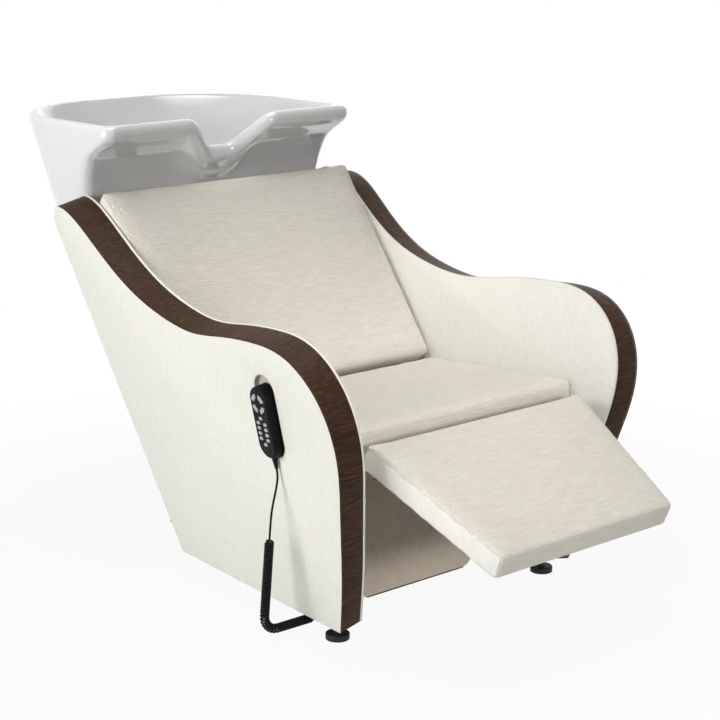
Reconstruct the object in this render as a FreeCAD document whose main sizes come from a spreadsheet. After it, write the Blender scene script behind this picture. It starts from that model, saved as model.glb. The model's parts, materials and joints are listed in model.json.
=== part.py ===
import FreeCAD, Part
import Sketcher
import math
import os
from FreeCAD import Vector

# Backwash unit: a reclined salon chair between two leaning side panels, a powered legrest,
# a ceramic basin on arms behind the back, and a wired handset in a pocket on one panel.
# Millimetres, +Z up, the client faces -Y, the origin is on the floor under the middle.

doc = FreeCAD.newDocument("backwash_unit")
sheet = doc.addObject("Spreadsheet::Sheet", "Sizes")

SIZES = [
    ("inner_half", 209.4, "half gap between the panels at floor level"),
    ("inner_lean", 0.183, "outward lean of a panel's inner face per mm of height"),
    ("outer_half", 261.1, "half width over the panels at floor level"),
    ("outer_lean", 0.210, "outward lean of a panel's outer face per mm of height"),
    ("splay", 0.083, "opening of the panels towards the front per mm of depth"),
    ("edge_tilt", 0.224, "rise of the panel's edge from its outer to its inner face"),
    ("cover_skin", 4, "padded cover on each panel face"),
    ("band_skin", 5, "edge band thickness"),
    ("panel_foot_height", 31, "floor to the panel's bottom edge"),
    ("panel_tip_height", 726, "floor to the panel's rear tip"),
    ("panel_dip_height", 544, "floor to the low of the arm line"),
    ("arm_crest_height", 565, "floor to the crest of the arm"),
    ("panel_front_reach", 495, "front bulge of the panel before the origin"),
    ("panel_front_foot", 407, "bottom front corner of the panel before the origin"),
    ("panel_rear_foot", 138, "bottom rear corner of the panel behind the origin"),
    ("panel_rear_reach", 384, "rear tip of the panel behind the origin"),
    ("fit_gap", 4, "gap between a cushion and a panel"),
    ("soft_gap", 0.4, "gap under and beside a cushion"),
    ("seat_height", 400, "floor to the seat's front edge"),
    ("seat_fall", 16, "drop of the seat towards the back"),
    ("seat_front", 405, "seat front before the origin"),
    ("seat_rear", 26, "seat back edge before the origin"),
    ("seat_padding", 82, "seat cushion thickness"),
    ("seat_crown", 7, "rise of the seat's middle"),
    ("board_thickness", 18, "seat board, pedestal boards and kick panel"),
    ("back_low_y", 28, "foot of the back cushion's face before the origin"),
    ("back_low_z", 392, "floor to the foot of the back cushion's face"),
    ("back_length", 472, "back cushion along its slope"),
    ("back_angle", 41.5, "back cushion from upright, degrees"),
    ("back_padding", 82, "back cushion thickness"),
    ("back_crown", 8, "rise of the back cushion's middle"),
    ("back_board_thickness", 12, "back board"),
    ("back_board_short", 15, "back board under the top of its cushion"),
    ("rear_cover_thickness", 12, "board that closes the back"),
    ("rest_length", 327, "legrest along its slope"),
    ("rest_padding", 38, "legrest cushion thickness"),
    ("rest_board_thickness", 12, "legrest board"),
    ("rest_half_rear", 276, "half width of the legrest at the knee"),
    ("rest_half_front", 222, "half width of the legrest at the foot"),
    ("rest_angle", 26.8, "legrest slope at rest, degrees"),
    ("rest_top_y", 446.6, "legrest's upper rear edge before the origin"),
    ("rest_top_z", 390, "floor to the legrest's upper rear edge"),
    ("rest_crown", 3, "rise of the legrest's middle"),
    ("board_inset", 12, "legrest board inside its cushion's outline"),
    ("hinge_drop", 68, "hinge axis under the legrest's face"),
    ("hinge_inset", 10, "hinge axis from the legrest's rear edge"),
    ("shaft_radius", 8, "hinge shaft"),
    ("shaft_half", 172, "half length of the hinge shaft"),
    ("run_clearance", 0.06, "running fit of shaft and rod, on the radius"),
    ("arm_x", 140, "legrest arm from the middle"),
    ("arm_wall", 4, "legrest arm round the shaft"),
    ("arm_length", 150, "legrest arm along the board"),
    ("plate_thickness", 8, "arms, brackets and levers"),
    ("eye_radius", 15, "eyes of the brackets and the lever round the shaft"),
    ("arm_tip", 10, "legrest arm's height at its front end"),
    ("bracket_length", 100, "hinge bracket along the seat board"),
    ("bracket_heel", 25, "hinge bracket's height at its rear end"),
    ("bracket_toe", 12, "hinge bracket's slanted front corner"),
    ("board_setback", 18, "seat board behind the cushion's front"),
    ("pedestal_inset", 20, "pedestal boards before the seat's back edge"),
    ("bracket_play", 1, "side gap between a bracket and an arm"),
    ("lever_length", 70, "push lever from axis to roller"),
    ("lever_angle", 20, "push lever ahead of plumb at rest, degrees"),
    ("roller_radius", 9, "push roller"),
    ("roller_half", 12, "half length of the push roller"),
    ("push_gap", 3, "play between roller and push plate"),
    ("push_plate_half", 23, "half width and height of the push plate"),
    ("push_plate_thickness", 6, "push plate on the rod"),
    ("rod_radius", 10, "actuator rod"),
    ("rod_length", 190, "actuator rod"),
    ("tube_radius", 20, "actuator outer tube"),
    ("tube_length", 200, "actuator outer tube"),
    ("rod_showing", 78, "rod between tube and push plate at rest"),
    ("hanger_depth", 20, "hanger that holds the actuator"),
    ("hanger_setback", 40, "hanger's front from the tube's rear end"),
    ("hanger_wall", 6, "hanger under the tube"),
    ("hanger_cheek", 7, "hanger beside the tube"),
    ("motor_radius", 21, "actuator motor"),
    ("motor_length", 95, "actuator motor"),
    ("motor_round", 5, "rounding of the motor's ends"),
    ("rail_x", 94, "floor rail from the middle"),
    ("rail_width", 30, "floor rail"),
    ("rail_base", 22, "floor to the underside of a rail"),
    ("rail_height", 30, "floor rail"),
    ("rail_front", 284, "rail front end before the origin"),
    ("rail_rear", 400, "rail rear end behind the origin"),
    ("tube_wall", 3, "wall of the steel tubes"),
    ("kick_half", 150, "half width of the kick panel"),
    ("kick_front", 284, "kick panel's face before the origin"),
    ("kick_corner", 22, "kick panel's corner radius"),
    ("kick_gap", 1, "kick panel under the seat board"),
    ("kick_hole_play", 2, "gap round the actuator in the kick panel"),
    ("foot_radius", 22.5, "foot pad"),
    ("foot_pad_height", 12, "foot pad"),
    ("foot_round", 2.5, "rounding of the foot pad's upper edge"),
    ("foot_stem_radius", 6, "foot stem"),
    ("foot_out", 5, "front foot outside the middle of a panel"),
    ("stem_reach", 20, "foot stem over the panel's bottom edge"),
    ("front_foot_y", 363, "front feet before the origin"),
    ("rear_foot_y", 370, "rear feet behind the origin"),
    ("cover_inset", 5, "rear cover inside the panels' rear edge"),
    ("cover_lift", 6, "rear cover over the rails"),
    ("cover_drop", 2, "rear cover under the basin arms"),
    ("upright_top", 600, "floor to the top of the leaning uprights"),
    ("upright_depth", 25, "leaning upright, front to back"),
    ("upright_width", 30, "leaning upright, side to side"),
    ("basin_arm_reach", 640, "basin arm's end behind the origin"),
    ("basin_arm_height", 40, "basin arm"),
    ("rim_height", 884, "floor to the basin rim"),
    ("rim_half", 319, "half width of the basin"),
    ("rim_front", 275, "basin's front edge behind the origin"),
    ("rim_depth", 465, "basin front to back"),
    ("rim_roll", 8, "rounding of the basin's rim"),
    ("bowl_middle_depth", 255, "waste behind the basin's front edge"),
    ("saddle_half", 90, "half depth of the basin saddle"),
    ("flange_radius", 32, "waste flange under the basin"),
    ("basin_foot", 688, "floor to the basin's underside"),
    ("bowl_floor", 716, "floor to the inside of the bowl"),
    ("neck_half", 102, "half width of the neck notch"),
    ("neck_depth", 66, "depth of the neck notch"),
    ("neck_shoulder", 26, "run and height of the notch's upper sides"),
    ("neck_lip", 24, "lip under the neck notch"),
    ("neck_recess", 52, "lip's face behind the rim's front"),
    ("neck_rest_depth", 50, "lip, front to back"),
    ("waste_radius", 22.5, "waste opening of the basin"),
    ("flange_thickness", 4, "waste flange under the basin"),
    ("strainer_radius", 30.5, "strainer over the waste"),
    ("strainer_thickness", 2, "strainer over the waste"),
    ("strainer_circle", 11, "circle of the strainer's holes"),
    ("strainer_hole", 3, "strainer hole"),
    ("tail_radius", 20, "waste tail pipe, outside"),
    ("tail_wall", 2, "waste tail pipe"),
    ("tail_length", 120, "waste tail pipe under the basin"),
    ("control_front", 150, "control box front before the origin"),
    ("control_base", 90, "floor to the control box"),
    ("control_depth", 38, "control box"),
    ("control_length", 90, "control box"),
    ("control_height", 120, "control box"),
    ("inlet_front", 120, "mains inlet's front before the origin"),
    ("inlet_base", 90, "floor to the mains inlet"),
    ("inlet_depth", 24, "mains inlet"),
    ("inlet_length", 48, "mains inlet"),
    ("inlet_height", 30, "mains inlet"),
    ("inlet_end", 6, "wall at each end of the mains inlet"),
    ("inlet_lip", 5, "wall over and under the mains inlet's opening"),
    ("inlet_back", 8, "back of the mains inlet"),
    ("pod_radius", 38, "massage motor pod"),
    ("pod_depth", 30, "massage motor pod"),
    ("pocket_y", 304, "handset pocket before the origin"),
    ("pocket_z", 423, "floor to the middle of the handset pocket"),
    ("handset_length", 138, "handset"),
    ("handset_width", 54, "handset"),
    ("handset_depth", 27, "handset"),
    ("handset_sink", 9, "how deep the handset sits in its pocket"),
    ("pocket_play", 3, "gap round the handset in its pocket"),
    ("pocket_headroom", 14, "pocket above the handset"),
    ("pocket_wall", 2, "pocket liner"),
    ("handset_round", 5, "rounding of the handset's face"),
    ("relief_radius", 5.5, "strain relief at the handset"),
    ("relief_length", 24, "strain relief"),
    ("ring_v", 38, "ring of keys above the handset's middle"),
    ("ring_inner", 11, "ring of keys, inside"),
    ("ring_outer", 19, "ring of keys, outside"),
    ("ring_spread", 28, "half angle of a ring key, degrees"),
    ("key_top_v", 10, "upper small key above the handset's middle"),
    ("key_step", 10.2, "small keys, row to row"),
    ("key_column", 10.5, "small keys, column from the middle"),
    ("key_width", 10, "small key"),
    ("key_height", 6, "small key"),
    ("key_well", 6, "depth of a key's well"),
    ("key_play", 0.25, "gap round a key"),
    ("key_travel", 1.2, "travel of a key"),
    ("key_rest", 0.3, "gap under a pressed key"),
    ("key_proud", 1.5, "key over the handset's face"),
    ("cord_wire", 4.2, "handset cord"),
    ("socket_radius", 8, "cord socket on the rail"),
    ("curl_radius", 6.9, "curls, to the middle of the cord"),
    ("curl_pitch", 4.8, "curls along the straight runs"),
    ("curl_loose", 6.2, "curls round the bend and at both ends"),
    ("curl_bend", 32, "bend of the curly stretch near the floor"),
]

for row, (alias, value, note) in enumerate(SIZES, 1):
    sheet.set("A%d" % row, note)
    sheet.set("B%d" % row, str(value))
    sheet.setAlias("B%d" % row, alias)
doc.recompute()

S = {alias: float(sheet.get(alias)) for alias, _, _ in SIZES}
SIDES = (("left", -1), ("right", 1))
# Lengths that reach past the whole unit, and past the thickness of any panel
FAR = 1000
NEAR = 150
nodes = []


def keep(item, label):
    """Register one finished sub-part under its own label."""
    item.Label = label
    nodes.append(item)
    return item


def shaped(label, shape):
    """A sub-part whose shape is worked out here from the sheet."""
    item = doc.addObject("Part::Feature", label)
    item.Shape = shape
    return keep(item, label)


def bind(item, formulas):
    """Tie an object's properties to the sheet."""
    for name, formula in formulas.items():
        item.setExpression(name, formula)
    return item


def place(x, y, z):
    """Placement formulas of a primitive's own corner or centre."""
    return {"Placement.Base.x": x, "Placement.Base.y": y, "Placement.Base.z": z}


def box(name, corner, extent):
    """Box whose corner and sides are formulas on the sheet."""
    item = doc.addObject("Part::Box", name)
    bind(item, place(*corner))
    return bind(item, dict(zip(("Length", "Width", "Height"), extent)))


def cut(name, base, tool):
    """Boolean cut of two document objects."""
    item = doc.addObject("Part::Cut", name)
    item.Base = base
    item.Tool = tool
    return item


def compound(name, items):
    """Group of identical separate solids in one node."""
    item = doc.addObject("Part::Compound", name)
    item.Links = items
    return item


def inner_x(y, z):
    """Half width between the panels' inner faces at a place."""
    return S["inner_half"] + S["inner_lean"] * z - S["splay"] * y


def outer_x(y, z):
    """Half width over the panels' outer faces at a place."""
    return S["outer_half"] + S["outer_lean"] * z - S["splay"] * y


def between_panels(gap):
    """Six-sided solid between the two inner faces, each drawn in by gap."""
    corner = {}
    for side in (-1, 1):
        for y in (-FAR, FAR):
            for z in (-FAR, FAR):
                corner[side, y, z] = Vector(side * (inner_x(y, z) - gap), y, z)
    quads = []
    for axis in range(3):
        for end in (0, 1):
            keys = []
            for first, second in ((0, 0), (0, 1), (1, 1), (1, 0)):
                bits = [first, second]
                bits.insert(axis, end)
                keys.append(((-1, 1)[bits[0]], (-FAR, FAR)[bits[1]], (-FAR, FAR)[bits[2]]))
            quads.append(Part.Face(Part.makePolygon([corner[k] for k in keys] + [corner[keys[0]]])))
    return Part.makeSolid(Part.makeShell(quads))


BETWEEN = between_panels(0)


def prism(points, direction):
    """Solid swept from a closed polygon along a vector."""
    return Part.Face(Part.makePolygon(points + [points[0]])).extrude(direction)


# Side panels
# The arm line is one curve from the top of the slanted rear edge over the S of the arm to the floor.
def arm_line():
    tip = S["panel_tip_height"]
    dip = S["panel_dip_height"]
    crest = S["arm_crest_height"]
    rear = S["panel_rear_reach"]
    front = S["panel_front_reach"]
    foot = S["panel_front_foot"]
    return [
        (rear - 3, tip - 52), (rear, tip - 26), (rear - 13, tip - 5), (rear - 38, tip - 2),
        (rear - 77, tip - 15), (rear - 144, tip - 61), (rear - 207, tip - 106),
        (rear - 277, dip + 39), (rear - 365, dip + 12), (rear - 468, dip),
        (314 - front, crest - 10), (204 - front, crest), (104 - front, crest - 11),
        (29 - front, crest - 70), (-front, crest - 162), (18 - front, crest - 277),
        (-foot - 38, S["panel_foot_height"] + 123), (-foot, S["panel_foot_height"]),
    ]


def flat_curve(points):
    """Smooth curve through (y, z) points, held in the plane x = 0."""
    curve = Part.BSplineCurve()
    curve.interpolate([Vector(0, y, z) for y, z in points])
    return curve


def drawn_in(points, curve, depth):
    """The same points moved square to the curve, into the panel."""
    moved = []
    for y, z in points:
        run = curve.tangent(curve.parameter(Vector(0, y, z)))[0]
        moved.append((y - depth * run.z, z + depth * run.y))
    moved[-1] = (points[-1][0] + depth, points[-1][1])
    return moved


def on_outer(shape, side):
    """Carry a flat (y, z) figure onto the leaning outer plane of a panel."""
    shear = FreeCAD.Matrix(
        1, -side * S["splay"], side * S["outer_lean"], side * S["outer_half"],
        0, 1, 0, 0,
        0, 0, 1, 0,
    )
    return shape.transformGeometry(shear)


def side_panel(name, side):
    """Core, two covers and the edge band of one panel."""
    edge_points = arm_line()
    edge = flat_curve(edge_points)
    inset_points = drawn_in(edge_points, edge, S["band_skin"])
    inset = flat_curve(inset_points)
    top = Vector(0, *edge_points[0])
    top_inset = Vector(0, *inset_points[0])
    front = Vector(0, *edge_points[-1])
    front_inset = Vector(0, *inset_points[-1])
    heel = Vector(0, S["panel_rear_foot"], S["panel_foot_height"])

    full = Part.Wire([edge.toShape(), Part.makeLine(front, heel), Part.makeLine(heel, top)])
    strip = Part.Wire([
        edge.toShape(), Part.makeLine(front, front_inset), inset.toShape(), Part.makeLine(top_inset, top),
    ])
    heart = Part.Wire([
        inset.toShape(), Part.makeLine(front_inset, heel), Part.makeLine(heel, top),
        Part.makeLine(top, top_inset),
    ])
    inward = Vector(-side, 0, S["edge_tilt"])
    skin = inward * S["cover_skin"]
    through = inward * NEAR
    near = between_panels(-S["cover_skin"])
    faces = {}
    for key, wire in (("full", full), ("strip", strip), ("heart", heart)):
        faces[key] = Part.Face(on_outer(wire, side))

    def inside(key):
        moved = faces[key].copy()
        moved.translate(skin)
        return moved.extrude(through)

    return {
        "outer_cover": faces["full"].extrude(skin),
        "core": inside("heart").cut(near),
        "band": inside("strip").cut(near),
        "inner_cover": inside("full").common(near).cut(BETWEEN),
    }


# Handset pocket frame: u across, v up the panel, n out of the panel's outer face.
def pocket_matrix():
    outward = Vector(-1, S["splay"], -S["outer_lean"]).normalize()
    upward = (Vector(0, 0, 1) - outward * outward.z).normalize()
    across = upward.cross(outward)
    y = -S["pocket_y"]
    z = S["pocket_z"]
    spot = Vector(-outer_x(y, z), y, z)
    return FreeCAD.Matrix(
        across.x, upward.x, outward.x, spot.x,
        across.y, upward.y, outward.y, spot.y,
        across.z, upward.z, outward.z, spot.z,
    )


POCKET = pocket_matrix()


def on_pocket(shape):
    """Place a shape drawn in the pocket's own frame."""
    return shape.transformed(POCKET, True)


def capsule(width, length, low, high):
    """Upright rounded bar in the pocket frame, from depth low to depth high."""
    r = width / 2
    reach = length / 2 - r
    right = Part.makeLine(Vector(r, -reach, low), Vector(r, reach, low))
    cap = Part.Arc(Vector(r, reach, low), Vector(0, reach + r, low), Vector(-r, reach, low)).toShape()
    left = Part.makeLine(Vector(-r, reach, low), Vector(-r, -reach, low))
    base = Part.Arc(Vector(-r, -reach, low), Vector(0, -reach - r, low), Vector(r, -reach, low)).toShape()
    return Part.Face(Part.Wire([right, cap, left, base])).extrude(Vector(0, 0, high - low))


play = S["pocket_play"]
wall = S["pocket_wall"]
well_width = S["handset_width"] + 2 * play
headroom = S["pocket_headroom"]
well_length = S["handset_length"] + 2 * play + headroom
well_floor = -S["handset_sink"] - S["soft_gap"]


def pocket_bar(grow, low, high):
    """The pocket's well, grown all round, from depth low to depth high."""
    bar = capsule(well_width + 2 * grow, well_length + 2 * grow, low, high)
    bar.translate(Vector(0, headroom / 2, 0))
    return bar


pocket_hole = on_pocket(pocket_bar(wall, well_floor - wall, NEAR))

for name, side in SIDES:
    pieces = side_panel(name, side)
    if side < 0:
        pieces["outer_cover"] = pieces["outer_cover"].cut(pocket_hole)
        pieces["core"] = pieces["core"].cut(pocket_hole)
    for piece, shape in pieces.items():
        shaped("%s_panel_%s" % (name, piece), shape)

liner = pocket_bar(wall, well_floor - wall, 0).cut(pocket_bar(0, well_floor, NEAR))
shaped("pocket_liner", on_pocket(liner))


# Cushions
# Each is a loft through closed sections: a flat base, bowed sides and a crowned top.
def section(origin, up, half_base, half_top, height, crown, bow):
    """One closed section across X, standing on origin along up."""
    low_left = origin + Vector(-half_base, 0, 0)
    low_right = origin + Vector(half_base, 0, 0)
    high_right = origin + up * height + Vector(half_top, 0, 0)
    high_left = origin + up * height + Vector(-half_top, 0, 0)
    half_mid = (half_base + half_top) / 2 + bow
    mid = origin + up * (height / 2)
    return Part.Wire([
        Part.makeLine(low_left, low_right),
        Part.Arc(low_right, mid + Vector(half_mid, 0, 0), high_right).toShape(),
        Part.Arc(high_right, origin + up * (height + crown), high_left).toShape(),
        Part.Arc(high_left, mid - Vector(half_mid, 0, 0), low_left).toShape(),
    ])


# Share along the cushion, share of its height, share of its crown and draw-in of its sides.
CUSHION_STATIONS = (
    (0.0, 0.74, 0.1, 5.0),
    (0.045, 0.97, 0.35, 0.5),
    (0.28, 1.0, 0.85, 2.0),
    (0.5, 1.0, 1.0, 2.6),
    (0.72, 1.0, 0.85, 2.0),
    (0.955, 0.97, 0.35, 0.5),
    (1.0, 0.74, 0.1, 5.0),
)


def cushion(start, end, up, height, crown, half_width):
    """Crowned pad along start to end; half_width gives the room at a place."""
    wires = []
    for share, tall, swell, draw in CUSHION_STATIONS:
        origin = start + (end - start) * share
        top = origin + up * (height * tall)
        half_base = half_width(origin) - draw
        half_top = half_width(top) - draw - 3
        wires.append(section(origin, up, half_base, half_top, height * tall, crown * swell, 1.5))
    return Part.makeLoft(wires, True)


def room(spot):
    """Half width that a cushion between the panels may take."""
    return inner_x(spot.y, spot.z) - S["fit_gap"]


seat_base = S["seat_height"] - S["seat_padding"]
seat_slope = math.atan2(S["seat_fall"], S["seat_front"] - S["seat_rear"])
seat_up = Vector(0, math.sin(seat_slope), math.cos(seat_slope))
seat_start = Vector(0, -S["seat_front"], seat_base)
seat_end = Vector(0, -S["seat_rear"], seat_base - S["seat_fall"])
shaped("seat_cushion", cushion(seat_start, seat_end, seat_up, S["seat_padding"], S["seat_crown"], room))

lean = math.radians(S["back_angle"])
back_run = Vector(0, math.sin(lean), math.cos(lean))
back_up = Vector(0, -math.cos(lean), math.sin(lean))
back_start = Vector(0, -S["back_low_y"], S["back_low_z"]) - back_up * S["back_padding"]
back_end = back_start + back_run * S["back_length"]
shaped("back_cushion", cushion(back_start, back_end, back_up, S["back_padding"], S["back_crown"], room))


def slab(start, run, length, up, low, high):
    """Board across the whole gap between the panels, cut to their inner faces."""
    corner = start + up * low
    rise = up * (high - low)
    points = [corner, corner + run * length, corner + run * length + rise, corner + rise]
    points = [p + Vector(-FAR, 0, 0) for p in points]
    return prism(points, Vector(2 * FAR, 0, 0)).common(BETWEEN)


seat_run = (seat_end - seat_start).normalize()
seat_length = (seat_end - seat_start).Length
board_low = -S["soft_gap"] - S["board_thickness"]
setback = S["board_setback"]
seat_board_start = seat_start + seat_run * setback
seat_board = slab(seat_board_start, seat_run, seat_length - setback, seat_up, board_low, -S["soft_gap"])
shaped("seat_board", seat_board)
back_board_low = -S["soft_gap"] - S["back_board_thickness"]
back_board_length = S["back_length"] - S["back_board_short"]
back_board = slab(back_start, back_run, back_board_length, back_up, back_board_low, -S["soft_gap"])
shaped("back_board", back_board)

# Legrest
# It swings on a shaft under the seat's front edge.
# All of it is drawn as the photograph shows it, half raised.
rest_lean = math.radians(S["rest_angle"])
rest_run = Vector(0, -math.cos(rest_lean), -math.sin(rest_lean))
rest_up = Vector(0, -math.sin(rest_lean), math.cos(rest_lean))
rest_edge = Vector(0, -S["rest_top_y"], S["rest_top_z"])
rest_start = rest_edge - rest_up * S["rest_padding"]
rest_end = rest_start + rest_run * S["rest_length"]
axis = rest_edge + rest_run * S["hinge_inset"] - rest_up * S["hinge_drop"]


def rest_half(spot):
    """Half width of the tapering legrest at a place."""
    share = (spot - rest_start).dot(rest_run) / S["rest_length"]
    return S["rest_half_rear"] + share * (S["rest_half_front"] - S["rest_half_rear"])


rest_pad = cushion(rest_start, rest_end, rest_up, S["rest_padding"], S["rest_crown"], rest_half)
shaped("legrest_cushion", rest_pad)

board_top = rest_start - rest_up * S["soft_gap"]
board_rear = board_top + rest_run * S["board_inset"]
board_front = board_top + rest_run * (S["rest_length"] - S["board_inset"])
half_rear = rest_half(board_rear) - S["board_inset"]
half_front = rest_half(board_front) - S["board_inset"]
board_corners = [
    board_rear - Vector(half_rear, 0, 0), board_rear + Vector(half_rear, 0, 0),
    board_front + Vector(half_front, 0, 0), board_front - Vector(half_front, 0, 0),
]
shaped("legrest_board", prism(board_corners, rest_up * -S["rest_board_thickness"]))


def side_plate(points, x, thickness):
    """Flat plate square to X from (y, z) points, centred on x."""
    corners = [Vector(x - thickness / 2, y, z) for y, z in points]
    return prism(corners, Vector(thickness, 0, 0))


def cross_bar(spot, x_from, x_to, radius):
    """Round bar along X through a (y, z) spot."""
    return Part.makeCylinder(radius, x_to - x_from, Vector(x_from, spot.y, spot.z), Vector(1, 0, 0))


def off_axis(along, up):
    """(y, z) of a place measured from the hinge axis in the legrest's own directions."""
    spot = axis + rest_run * along + rest_up * up
    return spot.y, spot.z


shaft = cross_bar(axis, -S["shaft_half"], S["shaft_half"], S["shaft_radius"])
shaped("hinge_shaft", shaft)
under_board = S["hinge_drop"] - S["rest_padding"] - S["soft_gap"] - S["rest_board_thickness"]
eye = S["eye_radius"]
heel_wall = S["shaft_radius"] + S["arm_wall"]
arm_outline = [
    off_axis(-heel_wall, under_board), off_axis(S["arm_length"], under_board),
    off_axis(S["arm_length"], under_board - S["arm_tip"]),
    off_axis(heel_wall, -heel_wall), off_axis(-heel_wall, -heel_wall),
]
arms = [side_plate(arm_outline, side * S["arm_x"], S["plate_thickness"]).cut(shaft) for _, side in SIDES]
shaped("legrest_arms", Part.makeCompound(arms))

# Push lever on the middle of the shaft, with a round pad across its end
lever_lean = math.radians(S["lever_angle"])
lever_run = Vector(0, -math.sin(lever_lean), -math.cos(lever_lean))
lever_end = axis + lever_run * S["lever_length"]
lever_side = Vector(0, -lever_run.z, lever_run.y) * (S["roller_radius"] - 1)
lever_outline = [axis - lever_side, axis + lever_side, lever_end + lever_side, lever_end - lever_side]
lever = side_plate([(p.y, p.z) for p in lever_outline], 0, S["plate_thickness"])
half_plate = S["plate_thickness"] / 2
lever = lever.fuse(cross_bar(axis, -half_plate, half_plate, eye))
pad_reach = half_plate + S["roller_half"]
lever = lever.fuse(cross_bar(lever_end, -pad_reach, pad_reach, S["roller_radius"]))
shaped("push_lever", lever.cut(shaft).removeSplitter())


def under_seat(share):
    """(y, z) on the underside of the seat board, at a distance from its front."""
    spot = seat_start + seat_run * share + seat_up * board_low
    return spot.y, spot.z


def seat_under_z(y):
    """Height of the seat board's underside at a depth."""
    first_y, first_z = under_seat(0)
    return first_z - (y - first_y) * math.tan(seat_slope)


# Hinge brackets hang from the seat board and carry the shaft in running bores
bracket_x = S["arm_x"] + S["plate_thickness"] + S["bracket_play"]
nose_y, nose_z = axis.y, axis.z
front_y, front_z = under_seat(S["board_setback"] + 2)
rear_y, rear_z = under_seat(S["bracket_length"])
bracket_outline = [
    (nose_y - eye, nose_z), (nose_y + eye, nose_z), (nose_y + eye, front_z), (front_y, front_z),
    (rear_y, rear_z), (rear_y, rear_z - S["bracket_heel"]), (nose_y - eye, front_z - S["bracket_toe"]),
]
bore = cross_bar(axis, -FAR, FAR, S["shaft_radius"] + S["run_clearance"])
brackets = []
for _, side in SIDES:
    x = side * bracket_x
    plate = side_plate(bracket_outline, x, S["plate_thickness"])
    plate = plate.fuse(cross_bar(axis, x - half_plate, x + half_plate, eye)).removeSplitter()
    brackets.append(plate.cut(bore))
shaped("hinge_brackets", Part.makeCompound(brackets))

# Linear actuator under the seat: the rod's plate pushes the lever's pads
push_face = lever_end.y + S["roller_radius"] + S["push_gap"]
push_height = lever_end.z + 3
plate_rear = push_face + S["push_plate_thickness"]
tube_front = plate_rear + S["rod_showing"]
tube_rear = tube_front + S["tube_length"]


def along_y(y_from, length, radius):
    """Round bar along Y on the actuator's line."""
    return Part.makeCylinder(radius, length, Vector(0, y_from, push_height), Vector(0, 1, 0))


push_plate = Part.makeBox(
    2 * S["push_plate_half"], S["push_plate_thickness"], 2 * S["push_plate_half"],
    Vector(-S["push_plate_half"], push_face, push_height - S["push_plate_half"]))
lever_slot = Part.makeBox(
    S["plate_thickness"] + 2 * S["push_gap"], S["push_plate_thickness"], S["push_plate_half"],
    Vector(-S["plate_thickness"] / 2 - S["push_gap"], push_face, push_height))
push_plate = push_plate.cut(lever_slot)
push_rod = along_y(plate_rear, S["rod_length"], S["rod_radius"])
shaped("actuator_rod", push_plate.fuse(push_rod).removeSplitter())
tube = along_y(tube_front, S["tube_length"], S["tube_radius"])
rod_bore = along_y(tube_front, S["tube_length"], S["rod_radius"] + S["run_clearance"])
shaped("actuator_tube", tube.cut(rod_bore))
motor = along_y(tube_rear, S["motor_length"], S["motor_radius"])
shaped("actuator_motor", motor.makeFillet(S["motor_round"], [motor.Edges[0], motor.Edges[2]]))
hanger_front = tube_rear - S["hanger_setback"]
hanger_rear = hanger_front + S["hanger_depth"]
hanger_low = push_height - S["tube_radius"] - S["hanger_wall"]
hanger = side_plate([
    (hanger_front, hanger_low), (hanger_rear, hanger_low),
    (hanger_rear, seat_under_z(hanger_rear)), (hanger_front, seat_under_z(hanger_front)),
], 0, 2 * (S["tube_radius"] + S["hanger_cheek"]))
shaped("actuator_hanger", hanger.cut(tube))

# Pedestal boards, on the floor rails and under the seat board
board_front_y = -S["kick_front"] + S["board_thickness"]
rail_top = S["rail_base"] + S["rail_height"]
pedestal_rear = -S["seat_rear"] - S["pedestal_inset"]
pedestal_outline = [
    (board_front_y, rail_top), (pedestal_rear, rail_top),
    (pedestal_rear, seat_under_z(pedestal_rear)), (board_front_y, seat_under_z(board_front_y)),
]
pedestals = [side_plate(pedestal_outline, side * S["rail_x"], S["board_thickness"]) for _, side in SIDES]
shaped("pedestal_boards", Part.makeCompound(pedestals))

# Kick panel: a padded board with a hole for the actuator
kick = doc.addObject("PartDesign::Body", "kick_body")
face_plane = next(f for f in kick.Origin.OriginFeatures if f.Role == "XZ_Plane")
outline = kick.newObject("Sketcher::SketchObject", "kick_outline")
outline.AttachmentSupport = [(face_plane, "")]
outline.MapMode = "FlatFace"
kick_top = seat_under_z(-S["kick_front"]) - S["kick_gap"]
low = Vector(-S["kick_half"], S["rail_base"], 0)
high = Vector(S["kick_half"], kick_top, 0)
corners = [low, Vector(high.x, low.y, 0), high, Vector(low.x, high.y, 0)]
for index in range(4):
    outline.addGeometry(Part.LineSegment(corners[index], corners[(index + 1) % 4]))
for index in range(4):
    outline.addConstraint(Sketcher.Constraint("Coincident", index, 2, (index + 1) % 4, 1))
for index, kind in enumerate(("Horizontal", "Vertical", "Horizontal", "Vertical")):
    outline.addConstraint(Sketcher.Constraint(kind, index))
outline.addConstraint(Sketcher.Constraint("DistanceX", -1, 1, 0, 2, S["kick_half"]))
outline.setExpression("Constraints[8]", "Sizes.kick_half")
outline.addConstraint(Sketcher.Constraint("DistanceX", 0, 1, -1, 1, S["kick_half"]))
outline.setExpression("Constraints[9]", "Sizes.kick_half")
outline.addConstraint(Sketcher.Constraint("DistanceY", -1, 1, 0, 1, S["rail_base"]))
outline.setExpression("Constraints[10]", "Sizes.rail_base")
outline.addConstraint(Sketcher.Constraint("DistanceY", -1, 1, 2, 1, kick_top))
kick_pad = kick.newObject("PartDesign::Pad", "kick_pad")
kick_pad.Profile = outline
kick_pad.setExpression("Length", "Sizes.board_thickness")
doc.recompute()
hole_radius = S["tube_radius"] + S["kick_hole_play"]
hole = kick.newObject("Sketcher::SketchObject", "actuator_hole")
hole.AttachmentSupport = [(face_plane, "")]
hole.MapMode = "FlatFace"
hole.addGeometry(Part.Circle(Vector(0, push_height, 0), Vector(0, 0, 1), hole_radius))
hole.addConstraint(Sketcher.Constraint("PointOnObject", 0, 3, -2))
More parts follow.
